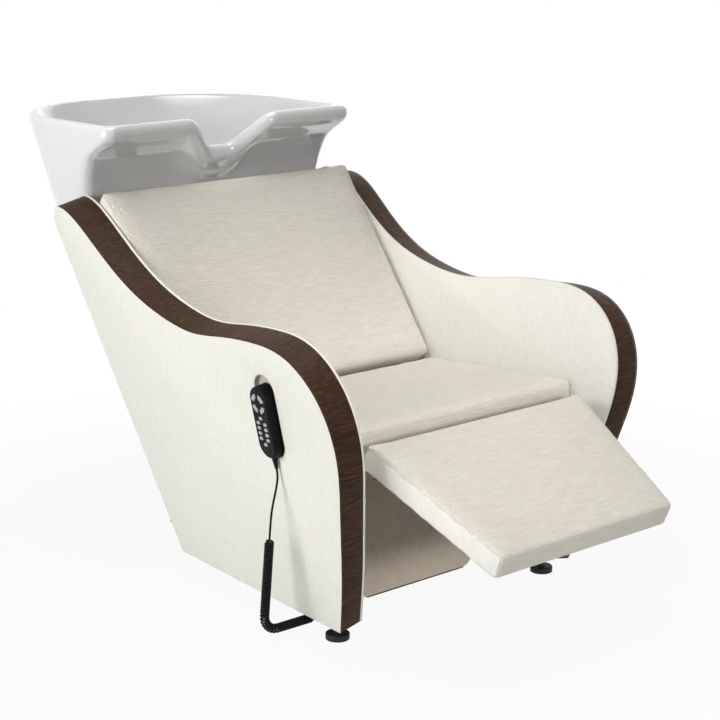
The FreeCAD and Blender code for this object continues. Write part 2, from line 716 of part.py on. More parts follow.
hole.addConstraint(Sketcher.Constraint("DistanceY", -1, 1, 0, 3, push_height))
hole.addConstraint(Sketcher.Constraint("Radius", 0, hole_radius))
hole.setExpression("Constraints[2]", "Sizes.tube_radius + Sizes.kick_hole_play")
kick_pocket = kick.newObject("PartDesign::Pocket", "actuator_pocket")
kick_pocket.Profile = hole
kick_pocket.Type = "ThroughAll"
kick_pocket.Midplane = True
doc.recompute()
lower = []
for number, edge in enumerate(kick_pocket.Shape.Edges, 1):
    level = edge.BoundBox
    upright_edge = level.XLength < 0.01 and level.ZLength < 0.01
    if upright_edge and level.ZMax < S["rail_base"] + 0.01:
        lower.append("Edge%d" % number)
kick_round = kick.newObject("PartDesign::Fillet", "kick_corners")
kick_round.Base = (kick_pocket, lower)
kick_round.setExpression("Radius", "Sizes.kick_corner")
kick.Tip = kick_round
bind(kick, {"Placement.Base.y": "-Sizes.kick_front + Sizes.board_thickness"})
keep(kick, "kick_panel")

# Floor rails, square steel tube
rails = []
for name, side in SIDES:
    left_edge = "%d * Sizes.rail_x - Sizes.rail_width / 2" % side
    start = "-Sizes.kick_front + Sizes.board_thickness"
    length = "Sizes.rail_rear + Sizes.kick_front - Sizes.board_thickness"
    skin = box(name + "_rail_skin", (left_edge, start, "Sizes.rail_base"), (
        "Sizes.rail_width", length, "Sizes.rail_height"))
    bore_x = left_edge + " + Sizes.tube_wall"
    hollow = box(name + "_rail_bore", (bore_x, start, "Sizes.rail_base + Sizes.tube_wall"), (
        "Sizes.rail_width - 2 * Sizes.tube_wall", length, "Sizes.rail_height - 2 * Sizes.tube_wall"))
    rails.append(cut(name + "_rail", skin, hollow))
keep(compound("rails", rails), "floor_rails")

# Leaning uprights and the board that closes the back, both along the panels' rear edge
rear_top = arm_line()[0]
heel = Vector(0, S["panel_rear_foot"], S["panel_foot_height"])
rear_run = (Vector(0, *rear_top) - heel).normalize()


def rear_line(inset, height):
    """(y, z) on a line inset from the panels' rear edge, at a height."""
    spot_y = heel.y + (height - heel.z) * rear_run.y / rear_run.z
    return spot_y - inset / rear_run.z, height


def leaning(inset, depth, low, high):
    """Outline of a leaning member between two heights."""
    return [
        rear_line(inset, low), rear_line(inset + depth, low),
        rear_line(inset + depth, high), rear_line(inset, high),
    ]


cover_low = rail_top + S["cover_lift"]
cover_high = S["upright_top"] - S["cover_drop"]
cover_outline = leaning(S["cover_inset"], S["rear_cover_thickness"], cover_low, cover_high)
shaped("rear_cover", side_plate(cover_outline, 0, 2 * FAR).common(BETWEEN))
upright_inset = S["cover_inset"] + S["rear_cover_thickness"]
upright_outline = leaning(upright_inset, S["upright_depth"], rail_top, S["upright_top"])
uprights = [side_plate(upright_outline, side * S["rail_x"], S["upright_width"]) for _, side in SIDES]
shaped("rear_uprights", Part.makeCompound(uprights))

# Basin arms on the uprights, and the saddle that carries the basin
arm_front = rear_line(upright_inset + S["upright_depth"] / 2, S["upright_top"])[0]
basin_arms = []
for name, side in SIDES:
    basin_arms.append(box(name + "_basin_arm", (
        "%d * Sizes.rail_x - Sizes.upright_width / 2" % side, "%f" % arm_front, "Sizes.upright_top"), (
        "Sizes.upright_width", "Sizes.basin_arm_reach - %f" % arm_front, "Sizes.basin_arm_height")))
keep(compound("arms", basin_arms), "basin_arms")
saddle_base = S["upright_top"] + S["basin_arm_height"]
bowl_middle = S["rim_front"] + S["bowl_middle_depth"]
saddle = Part.makeBox(
    2 * S["rail_x"] + S["upright_width"], 2 * S["saddle_half"], S["basin_foot"] - saddle_base,
    Vector(-S["rail_x"] - S["upright_width"] / 2, bowl_middle - S["saddle_half"], saddle_base))
well = Part.makeCylinder(S["flange_radius"] + 2, FAR, Vector(0, bowl_middle, 0))
shaped("basin_saddle", saddle.cut(well))


# Basin: glazed ceramic, a flaring shell with a rolled rim, a bowl and a neck notch
def basin_section(height, half, front, rear, front_corner, rear_corner):
    """Closed outline at one height: straight front, small front corners, large rear corners."""
    f = front_corner
    r = rear_corner
    fs = f * (1 - math.sqrt(0.5))
    rs = r * (1 - math.sqrt(0.5))

    def at(x, y):
        return Vector(x, y, height)

    return Part.Wire([
        Part.makeLine(at(-half + f, front), at(half - f, front)),
        Part.Arc(at(half - f, front), at(half - fs, front + fs), at(half, front + f)).toShape(),
        Part.makeLine(at(half, front + f), at(half, rear - r)),
        Part.Arc(at(half, rear - r), at(half - rs, rear - rs), at(half - r, rear)).toShape(),
        Part.makeLine(at(half - r, rear), at(-half + r, rear)),
        Part.Arc(at(-half + r, rear), at(-half + rs, rear - rs), at(-half, rear - r)).toShape(),
        Part.makeLine(at(-half, rear - r), at(-half, front + f)),
        Part.Arc(at(-half, front + f), at(-half + fs, front + fs), at(-half + f, front)).toShape(),
    ])


rim = S["rim_height"]
half = S["rim_half"]
front = S["rim_front"]
rear = front + S["rim_depth"]
roll = S["rim_roll"]
floor = S["bowl_floor"]
foot = S["basin_foot"]

# Stations from the rim down: depth, draw-in at the sides, front and rear, front corner, rear corner.
# The sides stand nearly upright, the rear leans in, and the front is undercut behind its lip.
SHELL_STATIONS = (
    (0, roll, roll, roll, 26, 240),
    (roll, 0, 0, 0, 26, 248),
    (27, 0, 2, 13, 26, 246),
    (44, 0, 26, 23, 24, 244),
    (69, 1, 66, 38, 22, 240),
    (92, 3, 81, 49, 22, 236),
    (120, 6, 92, 63, 22, 230),
    (160, 11, 99, 81, 24, 222),
    (rim - foot, 17, 104, 96, 26, 214),
)
BOWL_STATIONS = (
    (-1, 26, 28, 26, 40, 224),
    (30, 32, 38, 42, 42, 218),
    (52, 35, 60, 54, 44, 212),
    (70, 38, 86, 66, 46, 206),
    (100, 46, 106, 84, 50, 192),
    (146, 84, 128, 118, 56, 140),
    (rim - floor, 160, 160, 156, 50, 80),
)


def basin_loft(stations):
    """Straight-sided loft through basin outlines, from the rim down."""
    wires = []
    for depth, side_in, front_in, rear_in, front_corner, rear_corner in stations:
        wires.append(basin_section(
            rim - depth, half - side_in, front + front_in, rear - rear_in, front_corner, rear_corner))
    return Part.makeLoft(wires, True, True)


def neck_cutter(neck, dip, start, length):
    """Trough across the rim's front, open upwards."""
    low = rim - dip
    shoulder = S["neck_shoulder"]
    wire = Part.Wire([
        Part.makeLine(Vector(-neck, start, rim + 1), Vector(-neck + shoulder, start, low + shoulder)),
        Part.Arc(
            Vector(-neck + shoulder, start, low + shoulder), Vector(0, start, low),
            Vector(neck - shoulder, start, low + shoulder)).toShape(),
        Part.makeLine(Vector(neck - shoulder, start, low + shoulder), Vector(neck, start, rim + 1)),
        Part.makeLine(Vector(neck, start, rim + 1), Vector(-neck, start, rim + 1)),
    ])
    return Part.Face(wire).extrude(Vector(0, length, 0))


neck = S["neck_half"]
dip = S["neck_depth"]
lip = S["neck_lip"]
shell = basin_loft(SHELL_STATIONS)
neck_rest = neck_cutter(neck + lip, dip + lip, front + S["neck_recess"], S["neck_rest_depth"])
bowl = basin_loft(BOWL_STATIONS)
notch = neck_cutter(neck, dip, front - 1, S["rim_depth"] / 2)
drain = Part.makeCylinder(S["waste_radius"], FAR, Vector(0, bowl_middle, 0))
shaped("basin", shell.fuse(neck_rest).cut(bowl).cut(notch).cut(drain).removeSplitter())

# Waste: a flange in the bowl's floor with a strainer, and the tail pipe under it
plug = Part.makeCylinder(S["waste_radius"], floor - foot, Vector(0, bowl_middle, foot))
throat = Part.makeCylinder(S["tail_radius"] - S["tail_wall"], FAR, Vector(0, bowl_middle, 0))
collar_low = foot - S["flange_thickness"]
collar = Part.makeCylinder(S["flange_radius"], S["flange_thickness"], Vector(0, bowl_middle, collar_low))
shaped("waste_flange", plug.fuse(collar).removeSplitter().cut(throat))
strainer = Part.makeCylinder(S["strainer_radius"], S["strainer_thickness"], Vector(0, bowl_middle, floor))
STRAINER_HOLES = 6
for index in range(STRAINER_HOLES):
    turn = 2 * math.pi * index / STRAINER_HOLES
    circle = S["strainer_circle"]
    spot = Vector(circle * math.cos(turn), bowl_middle + circle * math.sin(turn), floor)
    strainer = strainer.cut(Part.makeCylinder(S["strainer_hole"], S["strainer_thickness"], spot))
shaped("waste_strainer", strainer)
tail_low = Vector(0, bowl_middle, collar_low - S["tail_length"])
tail = Part.makeCylinder(S["tail_radius"], S["tail_length"], tail_low)
shaped("waste_tail", tail.cut(throat))

# Feet: rubber pads on steel stems, under the panels in front and under the rails behind
foot_x = S["foot_out"] + (inner_x(-S["front_foot_y"], 0) + outer_x(-S["front_foot_y"], 0)) / 2
foot_spots = []
for side in (-1, 1):
    foot_spots.append((side * foot_x, -S["front_foot_y"], S["panel_foot_height"] + S["stem_reach"]))
    foot_spots.append((side * S["rail_x"], S["rear_foot_y"], S["rail_base"]))
panel_solids = [item.Shape for item in nodes if "_panel_" in item.Label]
foot_pads = []
foot_stems = []
for x, y, top in foot_spots:
    pad = Part.makeCylinder(S["foot_radius"], S["foot_pad_height"], Vector(x, y, 0))
    foot_pads.append(pad.makeFillet(S["foot_round"], [pad.Edges[0]]))
    stem_height = top - S["foot_pad_height"]
    stem = Part.makeCylinder(S["foot_stem_radius"], stem_height, Vector(x, y, S["foot_pad_height"]))
    foot_stems.append(stem.cut(panel_solids))
shaped("foot_pads", Part.makeCompound(foot_pads))
shaped("foot_stems", Part.makeCompound(foot_stems))

# Controls: the box on the left pedestal board, the mains inlet on the right one
keep(box("control_box", (
    "-Sizes.rail_x + Sizes.board_thickness / 2", "-Sizes.control_front", "Sizes.control_base"), (
    "Sizes.control_depth", "Sizes.control_length", "Sizes.control_height")), "control_box")
inlet_corner = Vector(S["rail_x"] + S["board_thickness"] / 2, -S["inlet_front"], S["inlet_base"])
inlet = Part.makeBox(S["inlet_depth"], S["inlet_length"], S["inlet_height"], inlet_corner)
plug_room = Part.makeBox(
    S["inlet_depth"], S["inlet_length"] - 2 * S["inlet_end"], S["inlet_height"] - 2 * S["inlet_lip"],
    inlet_corner + Vector(S["inlet_back"], S["inlet_end"], S["inlet_lip"]))
shaped("power_inlet", inlet.cut(plug_room))

# Massage motors, two sealed pods on the back of the back board, at shares of its length
POD_SHARES = (0.22, 0.48)
pods = []
for share in POD_SHARES:
    seat_spot = back_start + back_run * (S["back_length"] * share) + back_up * back_board_low
    pods.append(Part.makeCylinder(S["pod_radius"], S["pod_depth"], seat_spot, -back_up))
shaped("massage_motors", Part.makeCompound(pods))

# Handset: two shells, keys and a strain relief, drawn in the pocket's frame
sink = S["handset_sink"]
face = S["handset_depth"] - sink
back_shell = capsule(S["handset_width"], S["handset_length"], -sink, 0)
front_shell = capsule(S["handset_width"], S["handset_length"], 0, face)
rim_edges = [e for e in front_shell.Edges if e.BoundBox.ZMin > face - 0.1]
front_shell = front_shell.makeFillet(S["handset_round"], rim_edges)


def oval(u, v, width, height, low, high):
    """Oval bar standing in the pocket frame."""
    bar = capsule(height, width, low, high)
    bar.rotate(Vector(0, 0, 0), Vector(0, 0, 1), 90)
    bar.translate(Vector(u, v, 0))
    return bar


def ring_piece(middle, grow, low, high):
    """Quarter of the ring of large keys, centred on a compass angle."""
    inner = S["ring_inner"] - grow
    outer = S["ring_outer"] + grow
    spread = math.radians(S["ring_spread"])
    rest = [math.radians(middle) + k * spread for k in (-1, 0, 1)]
    push = grow / outer

    def at(radius, turn):
        return Vector(radius * math.cos(turn), S["ring_v"] + radius * math.sin(turn), low)

    first = rest[0] - push
    last = rest[2] + push
    wire = Part.Wire([
        Part.Arc(at(outer, first), at(outer, rest[1]), at(outer, last)).toShape(),
        Part.makeLine(at(outer, last), at(inner, last)),
        Part.Arc(at(inner, last), at(inner, rest[1]), at(inner, first)).toShape(),
        Part.makeLine(at(inner, first), at(outer, first)),
    ])
    return Part.Face(wire).extrude(Vector(0, 0, high - low))


key_top = face + S["key_proud"]
well_bottom = face - S["key_well"]
key_bottom = well_bottom + S["key_travel"] + S["key_rest"]
keys = {}
wells = []
for label, middle in (("up_left", 135), ("up_right", 45), ("down_left", 225), ("down_right", 315)):
    keys["ring_key_" + label] = ring_piece(middle, 0, key_bottom, key_top)
    wells.append(ring_piece(middle, S["key_play"], well_bottom, FAR))
spots = [("top", 0, S["key_top_v"])]
for row in range(4):
    v = S["key_top_v"] - S["key_step"] * (row + 1)
    spots.append(("left_%d" % (row + 1), -S["key_column"], v))
    spots.append(("right_%d" % (row + 1), S["key_column"], v))
spots.append(("bottom", 0, S["key_top_v"] - 5 * S["key_step"]))
for label, u, v in spots:
    keys["oval_key_" + label] = oval(u, v, S["key_width"], S["key_height"], key_bottom, key_top)
    grow = 2 * S["key_play"]
    wells.append(oval(u, v, S["key_width"] + grow, S["key_height"] + grow, well_bottom, FAR))
shaped("handset_back_shell", on_pocket(back_shell))
shaped("handset_front_shell", on_pocket(front_shell.cut(wells)))
for label, shape in keys.items():
    shaped(label, on_pocket(shape))
relief_top = -S["handset_length"] / 2
relief = Part.makeCone(
    S["relief_radius"], S["cord_wire"] / 2 + 1, S["relief_length"],
    Vector(0, relief_top, S["relief_radius"] + 1), Vector(0, -1, 0))
shaped("strain_relief", on_pocket(relief.cut(front_shell)))


# Handset cord: a straight lead, a curly stretch that turns under the panel, and a tail to its socket
def tangent_arc(start, corner, end):
    """Arc from start to end whose tangents meet at corner."""
    chord_middle = (start + end) * 0.5
    rise = corner - chord_middle
    half_chord = (end - start).Length / 2
    side = (corner - start).Length
    radius = half_chord * side / rise.Length
    bulge = radius * (1 - half_chord / side)
    return Part.Arc(start, chord_middle + rise * (bulge / rise.Length), end).toShape()


def rounded_route(points):
    """Straight runs joined by tangent arcs as large as the runs allow, and the arcs' radii."""
    edges = []
    radii = []
    here = points[0]
    for before, corner, after in zip(points, points[1:], points[2:]):
        back = (before - corner)
        ahead = (after - corner)
        trim = 0.45 * min(back.Length, ahead.Length)
        half_turn = (math.pi - back.getAngle(ahead)) / 2
        radii.append(trim / math.tan(half_turn))
        enter = corner + back.normalize() * trim
        leave = corner + ahead.normalize() * trim
        edges.append(Part.makeLine(here, enter))
        edges.append(tangent_arc(enter, corner, leave))
        here = leave
    edges.append(Part.makeLine(here, points[-1]))
    return edges, radii


def tube_along(edges, radius):
    """Solid round tube along joined edges."""
    spine = Part.Wire(edges)
    start = spine.Edges[0].valueAt(spine.Edges[0].FirstParameter)
    run = spine.Edges[0].tangentAt(spine.Edges[0].FirstParameter)
    shell = Part.BRepOffsetAPI.MakePipeShell(spine)
    shell.add(Part.Wire(Part.makeCircle(radius, start, run)))
    shell.build()
    shell.makeSolid()
    return shell.shape(), math.pi * radius ** 2 * spine.Length


wire_radius = S["cord_wire"] / 2
relief_end = POCKET.multVec(Vector(0, relief_top - S["relief_length"], S["relief_radius"] + 1))
relief_run = POCKET.multVec(Vector(0, -1, 0)) - POCKET.multVec(Vector(0, 0, 0))
curl_start = Vector(-379, -303, 205)
curl_corner = Vector(-384, -288, 19)
curl_end = Vector(-262, -290, 19)
lead_route = [
    relief_end, relief_end + relief_run * 14, Vector(-366, -306, 290), Vector(-375, -306.5, 262),
    Vector(-378.2, -305.4, 234.9), curl_start,
]
tail_route = [
    curl_end, Vector(-240, -290.4, 19), Vector(-214, -287, 20.5), Vector(-190, -272, 25),
    Vector(-170, -250, 31), Vector(-153, -232, 36), Vector(-137, -226, 37), Vector(-121, -226, 37),
]
for label, route in (("cord_lead", lead_route), ("cord_tail", tail_route)):
    edges, radii = rounded_route(route)
    solid, expected = tube_along(edges, wire_radius)
    print(label, "radii", [round(r, 1) for r in radii], "volume", round(solid.Volume / expected, 4))
    shaped(label, solid)
socket_end = tail_route[-1]
socket_length = -S["rail_x"] - S["rail_width"] / 2 - socket_end.x
shaped("cord_socket", Part.makeCylinder(S["socket_radius"], socket_length, socket_end, Vector(1, 0, 0)))

# The curly stretch's middle line: a run down, a bend and a run under the panel
down = (curl_corner - curl_start)
along = (curl_end - curl_corner)
bend_half = (math.pi - (down * -1).getAngle(along)) / 2
bend_trim = S["curl_bend"] * math.tan(bend_half)
down_length = down.Length - bend_trim
along_length = along.Length - bend_trim
bend_length = S["curl_bend"] * 2 * bend_half
down.normalize()
along.normalize()
bend_in = (along - down * along.dot(down)).normalize()
bend_start = curl_start + down * down_length
bend_centre = bend_start + bend_in * S["curl_bend"]
bend_end = curl_corner + along * bend_trim
side_way = down.cross(bend_in)
total_length = down_length + bend_length + along_length


def middle_line(reach):
    """Point and inward direction of the curly stretch's middle line at a reach along it."""
    if reach < down_length:
        return curl_start + down * reach, bend_in
    if reach < down_length + bend_length:
        turn = (reach - down_length) / S["curl_bend"]
        inward = bend_in * math.cos(turn) - down * math.sin(turn)
        return bend_centre - inward * S["curl_bend"], inward
    inward = bend_in * math.cos(2 * bend_half) - down * math.sin(2 * bend_half)
    return bend_end + along * (reach - down_length - bend_length), inward


straight_end = S["cord_wire"]
loose = S["curl_loose"]
down_run = down_length - straight_end - 2 * loose
along_run = along_length - straight_end - 2 * loose
CURL_STRETCHES = (
    (loose, loose), (down_run, S["curl_pitch"]), (bend_length + 2 * loose, loose),
    (along_run, S["curl_pitch"]), (loose, loose),
)
all_turns = sum(length / pitch for length, pitch in CURL_STRETCHES)
curl_count = round(all_turns)


def curl_reach(turns):
    """Reach along the middle line after a number of turns, which stand closer on the straight runs."""
    left = turns * all_turns / curl_count
    reach = straight_end
    for length, pitch in CURL_STRETCHES:
        here = min(left, length / pitch)
        reach += here * pitch
        left -= here
    return reach


def curl_point(turns):
    """Point of the cord after a number of turns; the first and last turn open from the middle line."""
    middle, inward = middle_line(curl_reach(turns))
    opening = min(1.0, turns, curl_count - turns)
    radius = S["curl_radius"] * (3 * opening ** 2 - 2 * opening ** 3)
    angle = 2 * math.pi * turns
    return middle + inward * (radius * math.cos(angle)) + side_way * (radius * math.sin(angle))


def curl_run(turns):
    """Direction of the cord after a number of turns."""
    step = 0.0005
    if turns <= 0:
        return Vector(down)
    if turns >= curl_count:
        return Vector(along)
    return (curl_point(turns + step) - curl_point(turns - step)).normalize()


def biarc(start, start_run, end, end_run):
    """Two tangent arcs from one place and direction to another."""
    span = end - start
    square = 2 - 2 * start_run.dot(end_run)
    linear = 2 * span.dot(start_run + end_run)
    reach = (-linear + math.sqrt(linear ** 2 + 4 * square * span.dot(span))) / (2 * square)
    first = start + start_run * reach
    second = end - end_run * reach
    joint = (first + second) * 0.5
    return [tangent_arc(start, first, joint), tangent_arc(joint, second, end)]


curl_edges = [Part.makeLine(curl_start, curl_point(0))]
for quarter in range(4 * curl_count):
    here, there = quarter / 4, (quarter + 1) / 4
    curl_edges += biarc(curl_point(here), curl_run(here), curl_point(there), curl_run(there))
curl_edges.append(Part.makeLine(curl_point(curl_count), curl_end))
curly, curly_expected = tube_along(curl_edges, wire_radius)
PER_TURN = 24
samples = [curl_point(k / PER_TURN) for k in range(curl_count * PER_TURN + 1)]
least = min(
    (samples[i] - samples[j]).Length
    for i in range(len(samples))
    for j in range(i + PER_TURN // 2, min(i + 2 * PER_TURN, len(samples)))
)
print("curly_cord curls", curl_count, "self gap", round(least - S["cord_wire"], 2),
      "volume", round(curly.Volume / curly_expected, 4))
shaped("curly_cord", curly)

doc.recompute()
for item in doc.Objects:
    if "Invalid" in item.State or "Error" in item.State:
        raise RuntimeError("failed object: %s" % item.Label)
for item in nodes:
    if item.Shape.isNull() or not item.Shape.isValid() or not item.Shape.Solids:
        raise RuntimeError("bad shape: %s" % item.Label)

os.makedirs("parts", exist_ok=True)
for item in nodes:
    item.Shape.exportStep("parts/%s.step" % item.Label)
print(len(nodes), "nodes")
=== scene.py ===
import json
import math

import bmesh
import bpy
from mathutils import Matrix, Vector


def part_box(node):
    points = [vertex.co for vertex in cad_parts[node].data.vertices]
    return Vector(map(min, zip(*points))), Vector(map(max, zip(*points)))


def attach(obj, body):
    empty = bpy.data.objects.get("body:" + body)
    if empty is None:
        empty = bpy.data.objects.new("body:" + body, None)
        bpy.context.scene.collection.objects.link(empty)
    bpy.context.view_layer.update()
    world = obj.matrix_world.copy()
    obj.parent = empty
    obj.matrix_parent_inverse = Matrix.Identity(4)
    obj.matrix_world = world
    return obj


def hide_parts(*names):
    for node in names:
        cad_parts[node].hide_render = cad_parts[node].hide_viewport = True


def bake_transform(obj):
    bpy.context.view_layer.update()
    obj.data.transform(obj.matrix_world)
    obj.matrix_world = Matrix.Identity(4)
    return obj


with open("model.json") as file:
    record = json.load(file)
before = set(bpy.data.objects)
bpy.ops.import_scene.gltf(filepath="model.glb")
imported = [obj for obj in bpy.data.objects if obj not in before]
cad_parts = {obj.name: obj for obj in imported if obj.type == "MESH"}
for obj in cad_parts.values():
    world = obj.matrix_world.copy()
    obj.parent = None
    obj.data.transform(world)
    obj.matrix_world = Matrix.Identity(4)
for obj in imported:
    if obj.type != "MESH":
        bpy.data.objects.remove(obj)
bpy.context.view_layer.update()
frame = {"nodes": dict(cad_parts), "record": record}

# Studio
# A plain pale floor under soft lamps. The camera stands where the photograph's did:
# left of the chair's front, a little above the basin's rim.
scene = bpy.context.scene
scene.view_settings.view_transform = "Standard"
CAMERA_AT = Vector((-2.3701, -2.8274, 1.3262))
CAMERA_LOOK = Vector((0.63896, 0.73090, -0.23982))
CAMERA_LENS = 94.19
camera_data = bpy.data.cameras.new("camera")
camera_data.lens = CAMERA_LENS
camera_data.sensor_width = 36
camera = bpy.data.objects.new("camera", camera_data)
camera.location = CAMERA_AT
camera.rotation_euler = CAMERA_LOOK.to_track_quat("-Z", "Y").to_euler()
scene.collection.objects.link(camera)
scene.camera = camera


def seen_white(tree, shade, lit):
    """Mix a lit surface with plain white for camera, mirror and glass rays."""
    nodes = tree.nodes
    path = nodes.new("ShaderNodeLightPath")
    first = nodes.new("ShaderNodeMath")
    first.operation = "MAXIMUM"
    tree.links.new(path.outputs["Is Camera Ray"], first.inputs[0])
    tree.links.new(path.outputs["Is Glossy Ray"], first.inputs[1])
    second = nodes.new("ShaderNodeMath")
    second.operation = "MAXIMUM"
    tree.links.new(first.outputs[0], second.inputs[0])
    tree.links.new(path.outputs["Is Transmission Ray"], second.inputs[1])
    share = nodes.new("ShaderNodeMath")
    share.operation = "MULTIPLY"
    share.inputs[1].default_value = 1.0
    tree.links.new(second.outputs[0], share.inputs[0])
    mix = nodes.new("ShaderNodeMixShader")
    tree.links.new(share.outputs[0], mix.inputs["Fac"])
    tree.links.new(lit.outputs[0], mix.inputs[1])
    tree.links.new(shade.outputs[0], mix.inputs[2])
    return mix, share.inputs[1]


world = bpy.data.worlds.new("studio")
scene.world = world
world.use_nodes = True
world_tree = world.node_tree
world_tree.nodes.clear()
ambient = world_tree.nodes.new("ShaderNodeBackground")
ambient.inputs["Color"].default_value = (0.93, 0.95, 1.0, 1)
ambient.inputs["Strength"].default_value = 0.08
paper = world_tree.nodes.new("ShaderNodeBackground")
paper.inputs["Color"].default_value = (1, 1, 1, 1)
paper.inputs["Strength"].default_value = 1.0
world_out = world_tree.nodes.new("ShaderNodeOutputWorld")
world_mix, _ = seen_white(world_tree, paper, ambient)
world_tree.links.new(world_mix.outputs[0], world_out.inputs["Surface"])

bpy.ops.object.select_all(action="DESELECT")
bpy.ops.mesh.primitive_plane_add(size=80, location=(0, 0, -0.0005))
floor = bpy.context.active_object
floor.name = "studio_floor"
floor_material = bpy.data.materials.new("pale_floor")
floor_material.use_nodes = True
floor_tree = floor_material.node_tree
floor_tree.nodes.clear()
floor_lit = floor_tree.nodes.new("ShaderNodeBsdfDiffuse")
floor_lit.inputs["Color"].default_value = (0.5, 0.5, 0.5, 1)
floor_glow = floor_tree.nodes.new("ShaderNodeEmission")
floor_out = floor_tree.nodes.new("ShaderNodeOutputMaterial")
floor_mix, floor_share = seen_white(floor_tree, floor_glow, floor_lit)
floor_place = floor_tree.nodes.new("ShaderNodeTexCoord")
floor_reach = floor_tree.nodes.new("ShaderNodeVectorMath")
floor_reach.operation = "LENGTH"
floor_fade = floor_tree.nodes.new("ShaderNodeMapRange")
floor_fade.inputs["From Min"].default_value = 0.7
floor_fade.inputs["From Max"].default_value = 1.5
floor_fade.inputs["To Min"].default_value = 0.93
floor_fade.inputs["To Max"].default_value = 1.0
floor_tree.links.new(floor_place.outputs["Object"], floor_reach.inputs[0])
floor_tree.links.new(floor_reach.outputs["Value"], floor_fade.inputs["Value"])
floor_tree.links.new(floor_fade.outputs["Result"], floor_share)
floor_tree.links.new(floor_mix.outputs[0], floor_out.inputs["Surface"])
floor.data.materials.append(floor_material)


def softbox(name, place, aim, size, watts, spread):
    """Square area lamp aimed at a point, with its beam's spread in degrees."""
    lamp = bpy.data.lights.new(name, "AREA")
    lamp.size = size
    lamp.energy = watts
    lamp.spread = math.radians(spread)
    lamp_object = bpy.data.objects.new(name, lamp)
    lamp_object.location = place
    lamp_object.rotation_euler = (Vector(aim) - Vector(place)).to_track_quat("-Z", "Y").to_euler()
    scene.collection.objects.link(lamp_object)


CHAIR_MIDDLE = (0.0, 0.0, 0.45)
softbox("key_softbox", (-3.6, 0.1, 1.15), CHAIR_MIDDLE, 2.4, 112, 180)
softbox("front_softbox", (-0.4, -3.4, 1.2), (0, -0.43, 0.35), 0.9, 1.8, 20)
softbox("top_softbox", (0.0, -0.30, 3.0), (0, -0.28, 0.35), 2.2, 11.6, 64)
softbox("rear_softbox", (2.4, 2.6, 1.8), CHAIR_MIDDLE, 2.0, 8, 180)


# Handset cord
# A thin black rubber lead leaves the handset's strain relief, opens into a curly stretch that hangs
# to the floor, turns under the panel and runs to its socket on the rail. The curls are moulded in.
def plain_material(name, color, roughness, specular=0.5):
    """Material with the shader's own colour and gloss set."""
    material = bpy.data.materials.new(name)
    material.use_nodes = True
    shader = material.node_tree.nodes["Principled BSDF"]
    shader.inputs["Base Color"].default_value = (*color, 1)
    shader.inputs["Roughness"].default_value = roughness
    shader.inputs["Specular IOR Level"].default_value = specular
    return material


def link(material, source, target):
    """Join two sockets of a material."""
    material.node_tree.links.new(source, target)


def add_node(material, kind, **settings):
    """New shader node with its settings and socket values."""
    node = material.node_tree.nodes.new(kind)
    for name, value in settings.items():
        if name in node.inputs:
            node.inputs[name].default_value = value
        else:
            setattr(node, name, value)
    return node


def speckle_bump(material, scale, strength, distance):
    """Fine moulded grain on a material's normal."""
    shader = material.node_tree.nodes["Principled BSDF"]
    coordinates = add_node(material, "ShaderNodeTexCoord")
    grain = add_node(material, "ShaderNodeTexNoise", Scale=scale, Detail=3.0)
    bump = add_node(material, "ShaderNodeBump", Strength=strength, Distance=distance)
    link(material, coordinates.outputs["Object"], grain.inputs["Vector"])
    link(material, grain.outputs["Fac"], bump.inputs["Height"])
    link(material, bump.outputs["Normal"], shader.inputs["Normal"])
    wear = add_node(material, "ShaderNodeMapRange", **{"To Min": 0.8, "To Max": 1.2})
    rough = add_node(material, "ShaderNodeMath", operation="MULTIPLY")
    rough.inputs[1].default_value = shader.inputs["Roughness"].default_value
    link(material, grain.outputs["Fac"], wear.inputs["Value"])
    link(material, wear.outputs["Result"], rough.inputs[0])
    link(material, rough.outputs["Value"], shader.inputs["Roughness"])


CORD_WIRE = 0.0042
CURL_RADIUS = 0.0069
CURL_PITCH = 0.0048
CURL_LOOSE = 0.0062
CURL_BEND = 0.032
POINTS_PER_CURL = 12
curl_start = Vector((-0.379, -0.303, 0.205))
curl_corner = Vector((-0.384, -0.288, 0.019))
curl_end = Vector((-0.262, -0.290, 0.019))
relief_low = Vector((-0.36252, -0.30505, 0.33064))
lead_points = [
    relief_low, Vector((-0.35966, -0.30529, 0.31694)), Vector((-0.366, -0.306, 0.290)),
    Vector((-0.375, -0.3065, 0.262)), Vector((-0.3782, -0.3054, 0.2349)), curl_start,
]
tail_points = [
    curl_end, Vector((-0.240, -0.2904, 0.019)), Vector((-0.214, -0.287, 0.0205)),
    Vector((-0.190, -0.272, 0.025)), Vector((-0.170, -0.250, 0.031)), Vector((-0.153, -0.232, 0.036)),
    Vector((-0.137, -0.226, 0.037)), Vector((-0.121, -0.226, 0.037)),
]
down = (curl_corner - curl_start).normalized()
along = (curl_end - curl_corner).normalized()
bend_angle = down.angle(along)
bend_trim = CURL_BEND * math.tan(bend_angle / 2)
down_length = (curl_corner - curl_start).length - bend_trim
along_length = (curl_end - curl_corner).length - bend_trim
bend_length = CURL_BEND * bend_angle
curl_length = down_length + bend_length + along_length
bend_in = (along - down * along.dot(down)).normalized()
bend_centre = curl_start + down * down_length + bend_in * CURL_BEND
side_way = down.cross(bend_in)


def curl_middle(reach):
    """Point and inward direction of the curly stretch's middle line."""
    if reach < down_length:
        return curl_start + down * reach, bend_in
    if reach < down_length + bend_length:
        turn = (reach - down_length) / CURL_BEND
        inward = bend_in * math.cos(turn) - down * math.sin(turn)
        return bend_centre - inward * CURL_BEND, inward
    inward = bend_in * math.cos(bend_angle) - down * math.sin(bend_angle)
    return curl_end - along * (curl_length - reach), inward


